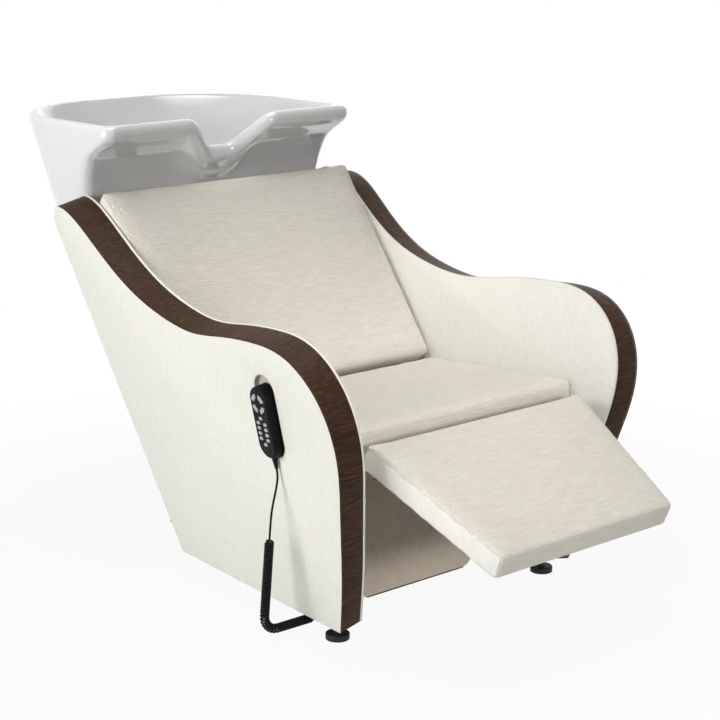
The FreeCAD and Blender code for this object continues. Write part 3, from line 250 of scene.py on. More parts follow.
CURL_STRETCHES = (
    (CURL_LOOSE, CURL_LOOSE), (down_length - CORD_WIRE - 2 * CURL_LOOSE, CURL_PITCH),
    (bend_length + 2 * CURL_LOOSE, CURL_LOOSE), (along_length - CORD_WIRE - 2 * CURL_LOOSE, CURL_PITCH),
    (CURL_LOOSE, CURL_LOOSE),
)
all_turns = sum(length / pitch for length, pitch in CURL_STRETCHES)
CURL_COUNT = round(all_turns)


def curl_reach(turns):
    """Reach along the middle line after a number of turns, which stand closer on the straight runs."""
    left = turns * all_turns / CURL_COUNT
    reach = CORD_WIRE
    for length, pitch in CURL_STRETCHES:
        here = min(left, length / pitch)
        reach += here * pitch
        left -= here
    return reach


curl_points = []
for step in range(1, CURL_COUNT * POINTS_PER_CURL):
    turns = step / POINTS_PER_CURL
    middle, inward = curl_middle(curl_reach(turns))
    opening = min(1.0, turns, CURL_COUNT - turns)
    radius = CURL_RADIUS * (3 * opening ** 2 - 2 * opening ** 3)
    radius = radius / math.cos(math.pi / POINTS_PER_CURL)
    angle = 2 * math.pi * turns
    curl_points.append(middle + inward * (radius * math.cos(angle)) + side_way * (radius * math.sin(angle)))

cord_points = lead_points + curl_points + tail_points
cord_curve = bpy.data.curves.new("handset_cord", "CURVE")
cord_curve.dimensions = "3D"
cord_spline = cord_curve.splines.new("NURBS")
cord_spline.points.add(len(cord_points) - 1)
for point, place in zip(cord_spline.points, cord_points):
    point.co = (*place, 1)
cord_spline.order_u = 3
cord_spline.use_endpoint_u = True
cord_spline.resolution_u = 3
cord_curve.bevel_depth = CORD_WIRE / 2
cord_curve.bevel_resolution = 3
cord_curve.use_fill_caps = True
handset_cord = bpy.data.objects.new("handset_cord", cord_curve)
scene.collection.objects.link(handset_cord)
bpy.ops.object.select_all(action="DESELECT")
handset_cord.select_set(True)
bpy.context.view_layer.objects.active = handset_cord
bpy.ops.object.convert(target="MESH")
bpy.ops.object.shade_smooth()
cord_rubber = plain_material("cord_rubber", (0.0035, 0.0035, 0.004), 0.5, 0.14)
speckle_bump(cord_rubber, 900, 0.08, 0.0004)
handset_cord.data.materials.append(cord_rubber)

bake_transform(handset_cord)
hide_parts("cord_lead", "curly_cord", "cord_tail")


# Upholstered side panels
# Each is a shaped core with a padded leatherette cover on both faces, sewn at the edge to a dark band
# that runs over the arm and down the front. The covers' edges are rounded and piped.
def copy_of(node, name):
    """Merged copy of a CAD node's mesh, as a new object at the origin."""
    bpy.ops.object.select_all(action="DESELECT")
    source = frame["nodes"][node]
    mesh = source.data.copy()
    mesh.materials.clear()
    piece = bpy.data.objects.new(name, mesh)
    scene.collection.objects.link(piece)
    mesh.transform(source.matrix_world)
    bpy.context.view_layer.objects.active = piece
    piece.select_set(True)
    bpy.ops.object.mode_set(mode="EDIT")
    bpy.ops.mesh.select_all(action="SELECT")
    bpy.ops.mesh.customdata_custom_splitnormals_clear()
    bpy.ops.mesh.remove_doubles(threshold=0.00001)
    bpy.ops.mesh.dissolve_limited(angle_limit=math.radians(1.0))
    bpy.ops.object.mode_set(mode="OBJECT")
    return piece


SHARP_EDGE = math.radians(30)
SMOOTH_EDGE = math.radians(40)


def rounded(piece, width, segments):
    """Bevel a piece's sharp edges and shade it smooth."""
    bevel = piece.modifiers.new("soft_edges", "BEVEL")
    bevel.width = width
    bevel.segments = segments
    bevel.limit_method = "ANGLE"
    bevel.angle_limit = SHARP_EDGE
    bpy.ops.object.select_all(action="DESELECT")
    bpy.context.view_layer.objects.active = piece
    piece.select_set(True)
    bpy.ops.object.modifier_apply(modifier=bevel.name)
    bpy.ops.object.shade_smooth_by_angle(angle=SMOOTH_EDGE)
    return piece


def dress(node, body, material, width, segments=3):
    """Soft-edged copy of a CAD node that stands for it."""
    piece = rounded(copy_of(node, node + "_dress"), width, segments)
    piece.data.materials.append(material)
    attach(piece, body)
    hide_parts(node)
    return piece


def leatherette(name, color, deep_color, rib_scale, roughness, ribs, strength):
    """Embossed crinkle leatherette: wavy ribs along one direction, over fine pores."""
    material = plain_material(name, color, roughness, 0.35)
    shader = material.node_tree.nodes["Principled BSDF"]
    shader.inputs["Sheen Weight"].default_value = 0.08
    coordinates = add_node(material, "ShaderNodeTexCoord")
    sway = add_node(material, "ShaderNodeTexNoise", Scale=9.0, Detail=2.0)
    sway_size = add_node(material, "ShaderNodeVectorMath", operation="SCALE")
    sway_size.inputs["Scale"].default_value = 0.009
    swayed = add_node(material, "ShaderNodeVectorMath", operation="ADD")
    mapping = add_node(material, "ShaderNodeMapping")
    mapping.inputs["Scale"].default_value = rib_scale
    crinkle = add_node(material, "ShaderNodeTexNoise", Scale=1.0, Detail=4.0, Roughness=0.55)
    crinkle.inputs["Distortion"].default_value = 0.35
    ramp = add_node(material, "ShaderNodeValToRGB")
    ramp.color_ramp.elements[0].position = 0.36
    ramp.color_ramp.elements[1].position = 0.62
    pores = add_node(material, "ShaderNodeTexNoise", Scale=700.0, Detail=2.0)
    rib_bump = add_node(material, "ShaderNodeBump", Strength=strength, Distance=ribs)
    pore_bump = add_node(material, "ShaderNodeBump", Strength=0.12, Distance=0.0004)
    tint = add_node(material, "ShaderNodeMix", data_type="RGBA")
    tint.inputs["A"].default_value = (*deep_color, 1)
    tint.inputs["B"].default_value = (*color, 1)
    link(material, coordinates.outputs["Object"], sway.inputs["Vector"])
    link(material, sway.outputs["Color"], sway_size.inputs["Vector"])
    link(material, coordinates.outputs["Object"], swayed.inputs[0])
    link(material, sway_size.outputs["Vector"], swayed.inputs[1])
    link(material, swayed.outputs["Vector"], mapping.inputs["Vector"])
    link(material, mapping.outputs["Vector"], crinkle.inputs["Vector"])
    link(material, crinkle.outputs["Fac"], ramp.inputs["Fac"])
    link(material, ramp.outputs["Color"], rib_bump.inputs["Height"])
    link(material, coordinates.outputs["Object"], pores.inputs["Vector"])
    link(material, pores.outputs["Fac"], pore_bump.inputs["Height"])
    link(material, rib_bump.outputs["Normal"], pore_bump.inputs["Normal"])
    link(material, pore_bump.outputs["Normal"], shader.inputs["Normal"])
    link(material, ramp.outputs["Color"], tint.inputs["Factor"])
    link(material, tint.outputs["Result"], shader.inputs["Base Color"])
    return material


IVORY = (0.87, 0.86, 0.785)
IVORY_DEEP = (0.805, 0.79, 0.715)
panel_leather = leatherette("panel_leatherette", IVORY, IVORY_DEEP, (380, 380, 36), 0.52, 0.0008, 0.55)


def banded_leather():
    """Dark brown cross-grained leatherette: the brown tones are its grain, and the coppery colour on the
    grain's raised crests is a painted highlight.
    """
    material = plain_material("edge_band_leatherette", (0.045, 0.0215, 0.0105), 0.5, 0.09)
    shader = material.node_tree.nodes["Principled BSDF"]
    coordinates = add_node(material, "ShaderNodeTexCoord")
    mapping = add_node(material, "ShaderNodeMapping")
    mapping.inputs["Scale"].default_value = (22, 330, 330)
    grain = add_node(material, "ShaderNodeTexNoise", Scale=1.0, Detail=5.0, Roughness=0.6)
    grain.inputs["Distortion"].default_value = 0.5
    ramp = add_node(material, "ShaderNodeValToRGB")
    ramp.color_ramp.elements[0].position = 0.34
    ramp.color_ramp.elements[0].color = (0.022, 0.0105, 0.0055, 1)
    # Lightest stop: a painted coppery highlight on the grain's crests, where the bump is highest.
    ramp.color_ramp.elements[1].position = 0.72
    ramp.color_ramp.elements[1].color = (0.092, 0.044, 0.021, 1)
    middle = ramp.color_ramp.elements.new(0.52)
    middle.color = (0.045, 0.0215, 0.0105, 1)
    bump = add_node(material, "ShaderNodeBump", Strength=0.35, Distance=0.0008)
    link(material, coordinates.outputs["Object"], mapping.inputs["Vector"])
    link(material, mapping.outputs["Vector"], grain.inputs["Vector"])
    link(material, grain.outputs["Fac"], ramp.inputs["Fac"])
    link(material, ramp.outputs["Color"], shader.inputs["Base Color"])
    link(material, grain.outputs["Fac"], bump.inputs["Height"])
    link(material, bump.outputs["Normal"], shader.inputs["Normal"])
    return material


band_leather = banded_leather()
COVER_ROUND = 0.0026
BAND_ROUND = 0.0008
PANEL_HEEL = Vector((0.138, 0.031))
PANEL_TIP = Vector((0.381, 0.674))
OUTER_LEAN = Vector((1, 0.083, -0.210)).normalized()
EDGE_NEAR = 0.002
EDGE_FACING = 0.6


def on_straight_edge(place):
    """True on the panel's bottom edge and on its straight rear edge."""
    low = place.z < PANEL_HEEL.y + EDGE_NEAR
    run = (PANEL_TIP - PANEL_HEEL).normalized()
    offset = Vector((place.y, place.z)) - PANEL_HEEL
    return low or abs(offset.x * run.y - offset.y * run.x) < EDGE_NEAR


def dark_edge(cover, outward):
    """Carry the dark band over a cover's curved edge, up to its rounded outer corner."""
    cover.data.materials.append(band_leather)
    for polygon in cover.data.polygons:
        on_edge = abs(polygon.normal.dot(outward)) < EDGE_FACING
        if on_edge and not on_straight_edge(polygon.center):
            polygon.material_index = 1


for side, sign in (("left", -1), ("right", 1)):
    outer_way = Vector((sign * OUTER_LEAN.x, OUTER_LEAN.y, OUTER_LEAN.z))
    cover = dress("%s_panel_outer_cover" % side, "chair", panel_leather, COVER_ROUND)
    dark_edge(cover, outer_way)
    dress("%s_panel_inner_cover" % side, "chair", panel_leather, COVER_ROUND)
    dress("%s_panel_band" % side, "chair", band_leather, BAND_ROUND)

# Pale piping
# A thin folded strip of ivory leatherette is caught in the seam between each inner cover and the dark band.
# It follows the cover's edge from the rear tip over the arm to the floor.
PIPING_RADIUS = 0.0007


def piping(node, name, outward):
    """Tube along the free edge of one cover face."""
    strip = copy_of(node, name)
    bpy.ops.object.mode_set(mode="EDIT")
    bpy.ops.mesh.select_all(action="DESELECT")
    mesh = bmesh.from_edit_mesh(strip.data)
    mesh.faces.ensure_lookup_table()
    face = max((f for f in mesh.faces if f.normal.dot(outward) > 0.9), key=lambda f: f.calc_area())
    keep = set()
    for loop in face.loops:
        ends = [v.co for v in loop.edge.verts]
        if not all(on_straight_edge(end) for end in ends):
            keep.add(loop.edge)
    bmesh.ops.delete(mesh, geom=mesh.faces[:], context="FACES_ONLY")
    bmesh.ops.delete(mesh, geom=[e for e in mesh.edges if e not in keep], context="EDGES")
    loose = [v for v in mesh.verts if not v.link_edges]
    bmesh.ops.delete(mesh, geom=loose, context="VERTS")
    bmesh.update_edit_mesh(strip.data)
    bpy.ops.object.mode_set(mode="OBJECT")
    bpy.ops.object.convert(target="CURVE")
    strip = bpy.context.active_object
    strip.data.bevel_depth = PIPING_RADIUS
    strip.data.bevel_resolution = 2
    strip.data.use_fill_caps = True
    bpy.ops.object.convert(target="MESH")
    bpy.ops.object.shade_smooth()
    strip = bpy.context.active_object
    strip.data.materials.append(piping_leather)
    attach(strip, "chair")


piping_leather = plain_material("piping_leatherette", (0.74, 0.70, 0.63), 0.5, 0.35)
speckle_bump(piping_leather, 500, 0.15, 0.0005)
for side, sign in (("left", -1), ("right", 1)):
    inner_way = Vector((-sign * OUTER_LEAN.x, -OUTER_LEAN.y, -OUTER_LEAN.z))
    piping("%s_panel_inner_cover" % side, "%s_inner_piping" % side, inner_way)


# Seat cushion
# Foam in a sewn leatherette cover, pressed between the panels. It is crowned, with soft rolled edges.
INNER_HALF = 0.2094
INNER_LEAN = 0.183
PANEL_SPLAY = 0.083
CUSHION_PLAY = 0.0030


def room(y, z):
    """Half width between the panels at a place, less the cushion's play."""
    return INNER_HALF + INNER_LEAN * z - PANEL_SPLAY * y - CUSHION_PLAY


def soft_block(name, corner, edge_round):
    """Block with rolled edges; corner gives each corner's place from its three signs."""
    bpy.ops.object.select_all(action="DESELECT")
    bpy.ops.mesh.primitive_cube_add(size=2)
    block = bpy.context.active_object
    block.name = name
    for vertex in block.data.vertices:
        signs = [1 if c > 0 else -1 for c in vertex.co]
        vertex.co = corner(*signs)
    bevel = block.modifiers.new("rolled_edges", "BEVEL")
    bevel.width = edge_round
    bevel.segments = 5
    bpy.ops.object.modifier_apply(modifier=bevel.name)
    return block


VOXEL = 0.0066
PRESSURE = 4.0
SIM_FRAMES = 20
FREE_ABOVE = 0.4
CROWN_HALF = 0.3
CROWN_FULLNESS = 0.7


def puffed(piece, base, up, depth, cap, side_cap):
    """Swell a pad by a pressure cloth run; its base stays where it rests."""
    piece.data.remesh_voxel_size = VOXEL
    bpy.ops.object.voxel_remesh()
    before = [v.co.copy() for v in piece.data.vertices]
    cloth = piece.modifiers.new("stuffing", "CLOTH")
    cloth.settings.use_pressure = True
    cloth.settings.uniform_pressure_force = PRESSURE
    cloth.settings.effector_weights.gravity = 0
    cloth.point_cache.frame_start = 1
    cloth.point_cache.frame_end = SIM_FRAMES
    for number in range(1, SIM_FRAMES + 1):
        scene.frame_set(number)
    bpy.ops.object.modifier_apply(modifier=cloth.name)
    scene.frame_set(1)
    for vertex, start in zip(piece.data.vertices, before):
        move = vertex.co - start
        height = (start - base).dot(up) / depth
        free = max(0.0, min(1.0, height / FREE_ABOVE))
        length = move.length
        if length > cap:
            move = move * (cap / length)
        move = move * free
        move.x = max(-side_cap, min(side_cap, move.x))
        vertex.co = start + move
    smooth = piece.modifiers.new("even", "SMOOTH")
    smooth.factor = 0.5
    smooth.iterations = 4
    bpy.ops.object.modifier_apply(modifier=smooth.name)
    finer = piece.modifiers.new("finer", "SUBSURF")
    finer.levels = 1
    finer.render_levels = 1
    bpy.ops.object.modifier_apply(modifier=finer.name)
    bpy.ops.object.shade_smooth()


def crowned(piece, middle, up, run, half_run, rise):
    """Raise a pad's top in a smooth crown across and along it."""
    for vertex in piece.data.vertices:
        offset = vertex.co - middle
        if offset.dot(up) < 0:
            continue
        along_share = max(0.0, 1 - (offset.dot(run) / half_run) ** 2)
        across_share = max(0.0, 1 - (offset.x / CROWN_HALF) ** 2)
        vertex.co += up * (rise * along_share ** CROWN_FULLNESS * across_share ** CROWN_FULLNESS)


SEAM_DEPTH = 0.0022


def pale_sides(piece, corner):
    """Cover a pad's two sides with the panels' ivory, up to a straight seam just inside each side."""
    piece.data.materials.append(panel_leather)
    cover = bmesh.new()
    cover.from_mesh(piece.data)
    for side in (-1, 1):
        along = corner(side, -1, 1) - corner(side, 1, 1)
        across = corner(side, 1, -1) - corner(side, 1, 1)
        outward = along.cross(across).normalized()
        if outward.x * side < 0:
            outward.negate()
        seam = corner(side, 1, 1) - outward * SEAM_DEPTH
        everything = cover.verts[:] + cover.edges[:] + cover.faces[:]
        bmesh.ops.bisect_plane(cover, geom=everything, plane_co=seam, plane_no=outward)
        for face in cover.faces:
            if (face.calc_center_median() - seam).dot(outward) > 0:
                face.material_index = 1
    cover.to_mesh(piece.data)
    cover.free()


GREIGE = (0.67, 0.63, 0.555)
GREIGE_DEEP = (0.595, 0.55, 0.475)
seat_leather = leatherette("seat_leatherette", GREIGE, GREIGE_DEEP, (30, 330, 330), 0.48, 0.0009, 0.7)

SEAT_FRONT = -0.405
SEAT_REAR = -0.026
SEAT_TOP = 0.400
SEAT_FALL = 0.016
SEAT_DEPTH = 0.082
SEAT_ROUND = 0.013
SEAT_CROWN = 0.004
SEAT_SWELL = 0.006
SIDE_SWELL = 0.0012


def seat_corner(side, back, top):
    """One corner of the seat cushion."""
    y = SEAT_REAR if back > 0 else SEAT_FRONT
    z = SEAT_TOP - (SEAT_FALL if back > 0 else 0) - (0 if top > 0 else SEAT_DEPTH)
    return Vector((side * room(y, z), y, z))


seat = soft_block("seat_cushion_cover", seat_corner, SEAT_ROUND)
seat_middle = Vector((0, (SEAT_FRONT + SEAT_REAR) / 2, SEAT_TOP - SEAT_DEPTH / 2))
seat_up = Vector((0, SEAT_FALL, SEAT_REAR - SEAT_FRONT)).normalized()
puffed(seat, Vector((0, SEAT_FRONT, SEAT_TOP - SEAT_DEPTH)), seat_up, SEAT_DEPTH, SEAT_SWELL, SIDE_SWELL)
crowned(seat, seat_middle, seat_up, Vector((0, 1, 0)), (SEAT_REAR - SEAT_FRONT) / 2, SEAT_CROWN)
seat.data.materials.append(seat_leather)
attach(seat, "chair")
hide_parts("seat_cushion")

# Back cushion
# The same foam and cover, leaning back between the panels up to the basin's rim, a little crowned.
BACK_ANGLE = math.radians(41.5)
BACK_LOW = Vector((0, -0.028, 0.392))
BACK_LENGTH = 0.4905
BACK_DEPTH = 0.082
BACK_ROUND = 0.010
BACK_CROWN = 0.005
BACK_SWELL = 0.006
back_run = Vector((0, math.sin(BACK_ANGLE), math.cos(BACK_ANGLE)))
back_up = Vector((0, -math.cos(BACK_ANGLE), math.sin(BACK_ANGLE)))


def back_corner(side, back, top):
    """One corner of the back cushion: back is its upper end, top its face."""
    place = BACK_LOW + back_run * (BACK_LENGTH if back > 0 else 0.0)
    place = place - back_up * (0.0 if top > 0 else BACK_DEPTH)
    return Vector((side * room(place.y, place.z), place.y, place.z))


back_pad = soft_block("back_cushion_cover", back_corner, BACK_ROUND)
puffed(back_pad, BACK_LOW - back_up * BACK_DEPTH, back_up, BACK_DEPTH, BACK_SWELL, SIDE_SWELL)
back_middle = BACK_LOW + back_run * (BACK_LENGTH / 2) - back_up * (BACK_DEPTH / 2)
crowned(back_pad, back_middle, back_up, back_run, BACK_LENGTH / 2, BACK_CROWN)
back_pad.data.materials.append(seat_leather)
pale_sides(back_pad, back_corner)
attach(back_pad, "chair")
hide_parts("back_cushion")

# Legrest cushion
# A thinner pad that tapers towards the feet, sewn along both long edges with a single row of stitches.
REST_ANGLE = math.radians(26.8)
REST_EDGE = Vector((0, -0.4466, 0.390))
REST_LENGTH = 0.327
REST_DEPTH = 0.050
REST_HALF_REAR = 0.276
REST_HALF_FRONT = 0.222
REST_ROUND = 0.006
REST_CROWN = 0.002
REST_SWELL = 0.004
rest_run = Vector((0, -math.cos(REST_ANGLE), -math.sin(REST_ANGLE)))
rest_up = Vector((0, -math.sin(REST_ANGLE), math.cos(REST_ANGLE)))


def rest_corner(side, back, top):
    """One corner of the legrest pad: back is its knee end."""
    place = REST_EDGE + rest_run * (0.0 if back > 0 else REST_LENGTH)
    place = place - rest_up * (0.0 if top > 0 else REST_DEPTH)
    half = REST_HALF_REAR if back > 0 else REST_HALF_FRONT
    return Vector((side * half, place.y, place.z))


rest_pad = soft_block("legrest_cushion_cover", rest_corner, REST_ROUND)
puffed(rest_pad, REST_EDGE - rest_up * REST_DEPTH, rest_up, REST_DEPTH, REST_SWELL, SIDE_SWELL)
rest_middle = REST_EDGE + rest_run * (REST_LENGTH / 2) - rest_up * (REST_DEPTH / 2)
crowned(rest_pad, rest_middle, rest_up, rest_run, REST_LENGTH / 2, REST_CROWN)
rest_pad.data.materials.append(seat_leather)
pale_sides(rest_pad, rest_corner)
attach(rest_pad, "legrest")
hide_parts("legrest_cushion", "legrest_board")

# Stitches
# One row of pale thread along each long edge of the legrest's face, a few millimetres in from the edge.
STITCH_PITCH = 0.0042
STITCH_LENGTH = 0.0027
STITCH_RADIUS = 0.00038
SEAM_INSET = 0.0075
SEAM_KNEE = 0.012
SEAM_FOOT = 0.006
SEAM_ABOVE = 0.003
THREAD_LIFT = 0.0001


def stitch_row(name, start, end, surface, body):
    """Row of short threads laid on a pad between two points above it."""
    line = end - start
    count = int(line.length / STITCH_PITCH)
    way = line.normalized()
    bpy.ops.object.select_all(action="DESELECT")
    bpy.ops.mesh.primitive_cylinder_add(vertices=6, radius=STITCH_RADIUS, depth=STITCH_LENGTH)
    row = bpy.context.active_object
    row.name = name
    thread = row.data.copy()
    turn = way.to_track_quat("Z", "Y").to_matrix().to_4x4()
    mesh = bmesh.new()
    for index in range(count):
        _, place, normal, _ = surface.closest_point_on_mesh(start + way * ((index + 0.5) * STITCH_PITCH))
        one = thread.copy()
        one.transform(Matrix.Translation(place + normal * THREAD_LIFT) @ turn)
        mesh.from_mesh(one)
        bpy.data.meshes.remove(one)
    mesh.to_mesh(row.data)
    mesh.free()
    row.data.materials.append(thread_material)
    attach(row, body)


thread_material = plain_material("seam_thread", (0.60, 0.55, 0.47), 0.7, 0.2)
speckle_bump(thread_material, 2500, 0.2, 0.0002)
for side, side_name in ((-1, "left"), (1, "right")):
    seam_start = rest_corner(side, 1, 1) + rest_run * SEAM_KNEE + rest_up * SEAM_ABOVE
    seam_end = rest_corner(side, -1, 1) - rest_run * SEAM_FOOT + rest_up * SEAM_ABOVE
    seam_start.x -= side * SEAM_INSET
    seam_end.x -= side * SEAM_INSET
    stitch_row("legrest_seam_%s" % side_name, seam_start, seam_end, rest_pad, "legrest")

# Basin
# Slip-cast vitreous china with a thick white glaze. The lip rolls over, the front is undercut behind it,
# and the neck notch sinks and draws back the lip in the middle of the front.
RIM_TOP = 0.884
RIM_HALF = 0.319
RIM_FRONT = 0.275
RIM_REAR = 0.740
NECK_HALF = 0.112
NECK_FLAT = 0.016
NECK_DEPTH = 0.066
NECK_RECESS = 0.050
NECK_REACH = 0.09
NECK_FADE = 0.12
LIP_DEPTH = 0.027
SINK_FADE = 0.150
RECESS_FADE = 0.065
DRAIN_DIP = 0.001
WASTE_AT = Vector((0.0, 0.530))
WASTE_RADIUS = 0.0225
FRONT_POINTS = 64
CORNER_POINTS = 8
SIDE_POINTS = 14
REAR_CORNER_POINTS = 18
REAR_POINTS = 12


def eased(share):
    """Smooth step from 0 to 1."""
    share = max(0.0, min(1.0, share))
    return share * share * (3 - 2 * share)


def basin_ring(half, front, rear, front_corner, rear_corner):
    """Plan points of one outline, anticlockwise from the front left."""
    points = []
    for index in range(FRONT_POINTS):
        share = index / FRONT_POINTS
        points.append((-half + front_corner + share * 2 * (half - front_corner), front))
    for index in range(CORNER_POINTS):
        angle = math.pi / 2 * index / CORNER_POINTS
        points.append((half - front_corner + front_corner * math.sin(angle),
                       front + front_corner - front_corner * math.cos(angle)))
    for index in range(SIDE_POINTS):
        share = index / SIDE_POINTS
        points.append((half, front + front_corner + share * (rear - rear_corner - front - front_corner)))
    for index in range(REAR_CORNER_POINTS):
        angle = math.pi / 2 * index / REAR_CORNER_POINTS
        points.append((half - rear_corner + rear_corner * math.cos(angle),
                       rear - rear_corner + rear_corner * math.sin(angle)))
    for index in range(REAR_POINTS):
        share = index / REAR_POINTS
        points.append((half - rear_corner - share * 2 * (half - rear_corner), rear))
    for index in range(REAR_CORNER_POINTS):
        angle = math.pi / 2 * index / REAR_CORNER_POINTS
        points.append((-half + rear_corner - rear_corner * math.sin(angle),
                       rear - rear_corner + rear_corner * math.cos(angle)))
    for index in range(SIDE_POINTS):
        share = index / SIDE_POINTS
        points.append((-half, rear - rear_corner - share * (rear - rear_corner - front - front_corner)))
    for index in range(CORNER_POINTS):
        angle = math.pi / 2 * index / CORNER_POINTS
        points.append((-half + front_corner - front_corner * math.cos(angle),
                       front + front_corner - front_corner * math.sin(angle)))
    return points


def notched(x, y, depth):
    """Height and plan place of a basin point, with the neck notch's sink and draw-back."""
    near_front = 1 - eased((y - RIM_FRONT - NECK_REACH) / NECK_FADE)
    notch = 1 - eased((abs(x) - NECK_FLAT) / (NECK_HALF - NECK_FLAT))
    sink = NECK_DEPTH * notch * near_front * (1 - eased((depth - LIP_DEPTH) / SINK_FADE))
    recess = NECK_RECESS * notch * near_front * (1 - eased((depth - LIP_DEPTH) / RECESS_FADE))
    return Vector((x, y + recess, RIM_TOP - depth - sink))


# Wall stations: depth under the rim, draw-in at sides, front and rear, front and rear corner radius.
OUTER_WALL = (
    (0.196, 0.017, 0.104, 0.096, 0.026, 0.214), (0.190, 0.016, 0.1035, 0.0935, 0.026, 0.215),
    (0.160, 0.011, 0.099, 0.081, 0.024, 0.222), (0.140, 0.0085, 0.096, 0.072, 0.023, 0.226),
    (0.120, 0.006, 0.092, 0.063, 0.022, 0.230), (0.106, 0.0045, 0.087, 0.056, 0.022, 0.233),
    (0.092, 0.003, 0.081, 0.049, 0.022, 0.236), (0.080, 0.002, 0.0745, 0.043, 0.022, 0.238),
    (0.069, 0.001, 0.066, 0.038, 0.022, 0.240), (0.058, 0.0005, 0.050, 0.0315, 0.023, 0.242),
    (0.049, 0.0, 0.034, 0.026, 0.024, 0.243), (0.041, 0.0, 0.020, 0.0215, 0.025, 0.244),
    (0.034, 0.0, 0.009, 0.017, 0.026, 0.245), (0.027, 0.0, 0.002, 0.013, 0.026, 0.246),
    (0.018, 0.0, 0.0, 0.0065, 0.026, 0.247), (0.010, 0.0005, 0.0005, 0.0015, 0.026, 0.248),
    (0.0045, 0.003, 0.003, 0.003, 0.026, 0.246), (0.001, 0.007, 0.007, 0.007, 0.026, 0.242),
)
INNER_WALL = (
    (0.0, 0.012, 0.012, 0.012, 0.028, 0.237), (0.001, 0.017, 0.018, 0.017, 0.031, 0.232),
    (0.005, 0.022, 0.023, 0.022, 0.035, 0.228), (0.012, 0.026, 0.029, 0.028, 0.039, 0.223),
    (0.030, 0.032, 0.038, 0.042, 0.042, 0.218), (0.052, 0.036, 0.060, 0.055, 0.044, 0.211),
    (0.070, 0.040, 0.084, 0.067, 0.046, 0.205), (0.100, 0.050, 0.106, 0.087, 0.050, 0.188),
    (0.125, 0.066, 0.117, 0.104, 0.053, 0.164), (0.146, 0.092, 0.130, 0.124, 0.056, 0.134),
    (0.158, 0.122, 0.146, 0.142, 0.056, 0.108), (0.165, 0.155, 0.166, 0.158, 0.052, 0.080),
    (0.168, 0.195, 0.190, 0.174, 0.044, 0.050),
)
basin_mesh = bmesh.new()
rings = []
for depth, side_in, front_in, rear_in, front_corner, rear_corner in OUTER_WALL + INNER_WALL:
    outline = basin_ring(RIM_HALF - side_in, RIM_FRONT + front_in, RIM_REAR - rear_in,
                         front_corner, rear_corner)
    rings.append([basin_mesh.verts.new(notched(x, y, depth)) for x, y in outline])
drain_ring = []
floor_depth = INNER_WALL[-1][0]
for vertex in rings[-1]:
    ray = Vector((vertex.co.x, vertex.co.y)) - WASTE_AT
    spot = WASTE_AT + ray.normalized() * WASTE_RADIUS
    drain_ring.append(basin_mesh.verts.new((spot.x, spot.y, RIM_TOP - floor_depth - DRAIN_DIP)))
rings.append(drain_ring)
throat_ring = [basin_mesh.verts.new((v.co.x, v.co.y, RIM_TOP - OUTER_WALL[0][0])) for v in drain_ring]
rings.append(throat_ring)
rings.append(rings[0])
ring_size = len(rings[0])
for low_ring, high_ring in zip(rings, rings[1:]):
    for index in range(ring_size):
        following = (index + 1) % ring_size
        basin_mesh.faces.new((low_ring[index], low_ring[following], high_ring[following], high_ring[index]))
basin_data = bpy.data.meshes.new("basin_shell")
bmesh.ops.recalc_face_normals(basin_mesh, faces=basin_mesh.faces[:])
basin_mesh.to_mesh(basin_data)
basin_mesh.free()
basin = bpy.data.objects.new("basin_shell", basin_data)
scene.collection.objects.link(basin)
bpy.ops.object.select_all(action="DESELECT")
basin.select_set(True)
bpy.context.view_layer.objects.active = basin
basin_finer = basin.modifiers.new("finer", "SUBSURF")
basin_finer.levels = 1
basin_finer.render_levels = 1
bpy.ops.object.modifier_apply(modifier=basin_finer.name)
bpy.ops.object.shade_smooth()
glaze = plain_material("white_glaze", (0.74, 0.745, 0.75), 0.07, 0.55)
glaze_shader = glaze.node_tree.nodes["Principled BSDF"]
glaze_shader.inputs["Coat Weight"].default_value = 0.6
glaze_shader.inputs["Coat Roughness"].default_value = 0.03
glaze_coordinates = add_node(glaze, "ShaderNodeTexCoord")
glaze_waves = add_node(glaze, "ShaderNodeTexNoise", Scale=14.0, Detail=1.0)
glaze_bump = add_node(glaze, "ShaderNodeBump", Strength=0.04, Distance=0.004)
link(glaze, glaze_coordinates.outputs["Object"], glaze_waves.inputs["Vector"])
link(glaze, glaze_waves.outputs["Fac"], glaze_bump.inputs["Height"])
link(glaze, glaze_bump.outputs["Normal"], glaze_shader.inputs["Normal"])
basin.data.materials.append(glaze)
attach(basin, "chair")
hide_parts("basin")

# Kick panel
# A board wrapped in smooth taupe leatherette. A thin black strip runs along its foot and draws the dark
# line there.
TAUPE = (0.62, 0.53, 0.425)
TAUPE_DEEP = (0.57, 0.485, 0.385)
kick_leather = leatherette("kick_leatherette", TAUPE, TAUPE_DEEP, (60, 60, 60), 0.55, 0.0003, 0.2)
dress("kick_panel", "chair", kick_leather, 0.0025, 4)
black_plastic = plain_material("black_plastic", (0.005, 0.005, 0.0055), 0.5, 0.3)
speckle_bump(black_plastic, 700, 0.12, 0.0004)
kick_low, kick_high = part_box("kick_panel")
STRIP_HEIGHT = 0.0022
STRIP_LAP = 0.0004
STRIP_PROUD = 0.0006
KICK_CORNER = 0.022
bpy.ops.object.select_all(action="DESELECT")
bpy.ops.mesh.primitive_cube_add(size=1)
kick_strip = bpy.context.active_object
kick_strip.name = "kick_foot_black_strip"
for vertex in kick_strip.data.vertices:
    x = (kick_high.x - KICK_CORNER) * (1 if vertex.co.x > 0 else -1)
    y = kick_high.y if vertex.co.y > 0 else kick_low.y - STRIP_PROUD
    z = kick_low.z + (STRIP_LAP if vertex.co.z > 0 else -STRIP_HEIGHT)
    vertex.co = (x, y, z)
rounded(kick_strip, 0.0006, 2)
kick_strip.data.materials.append(black_plastic)
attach(kick_strip, "chair")

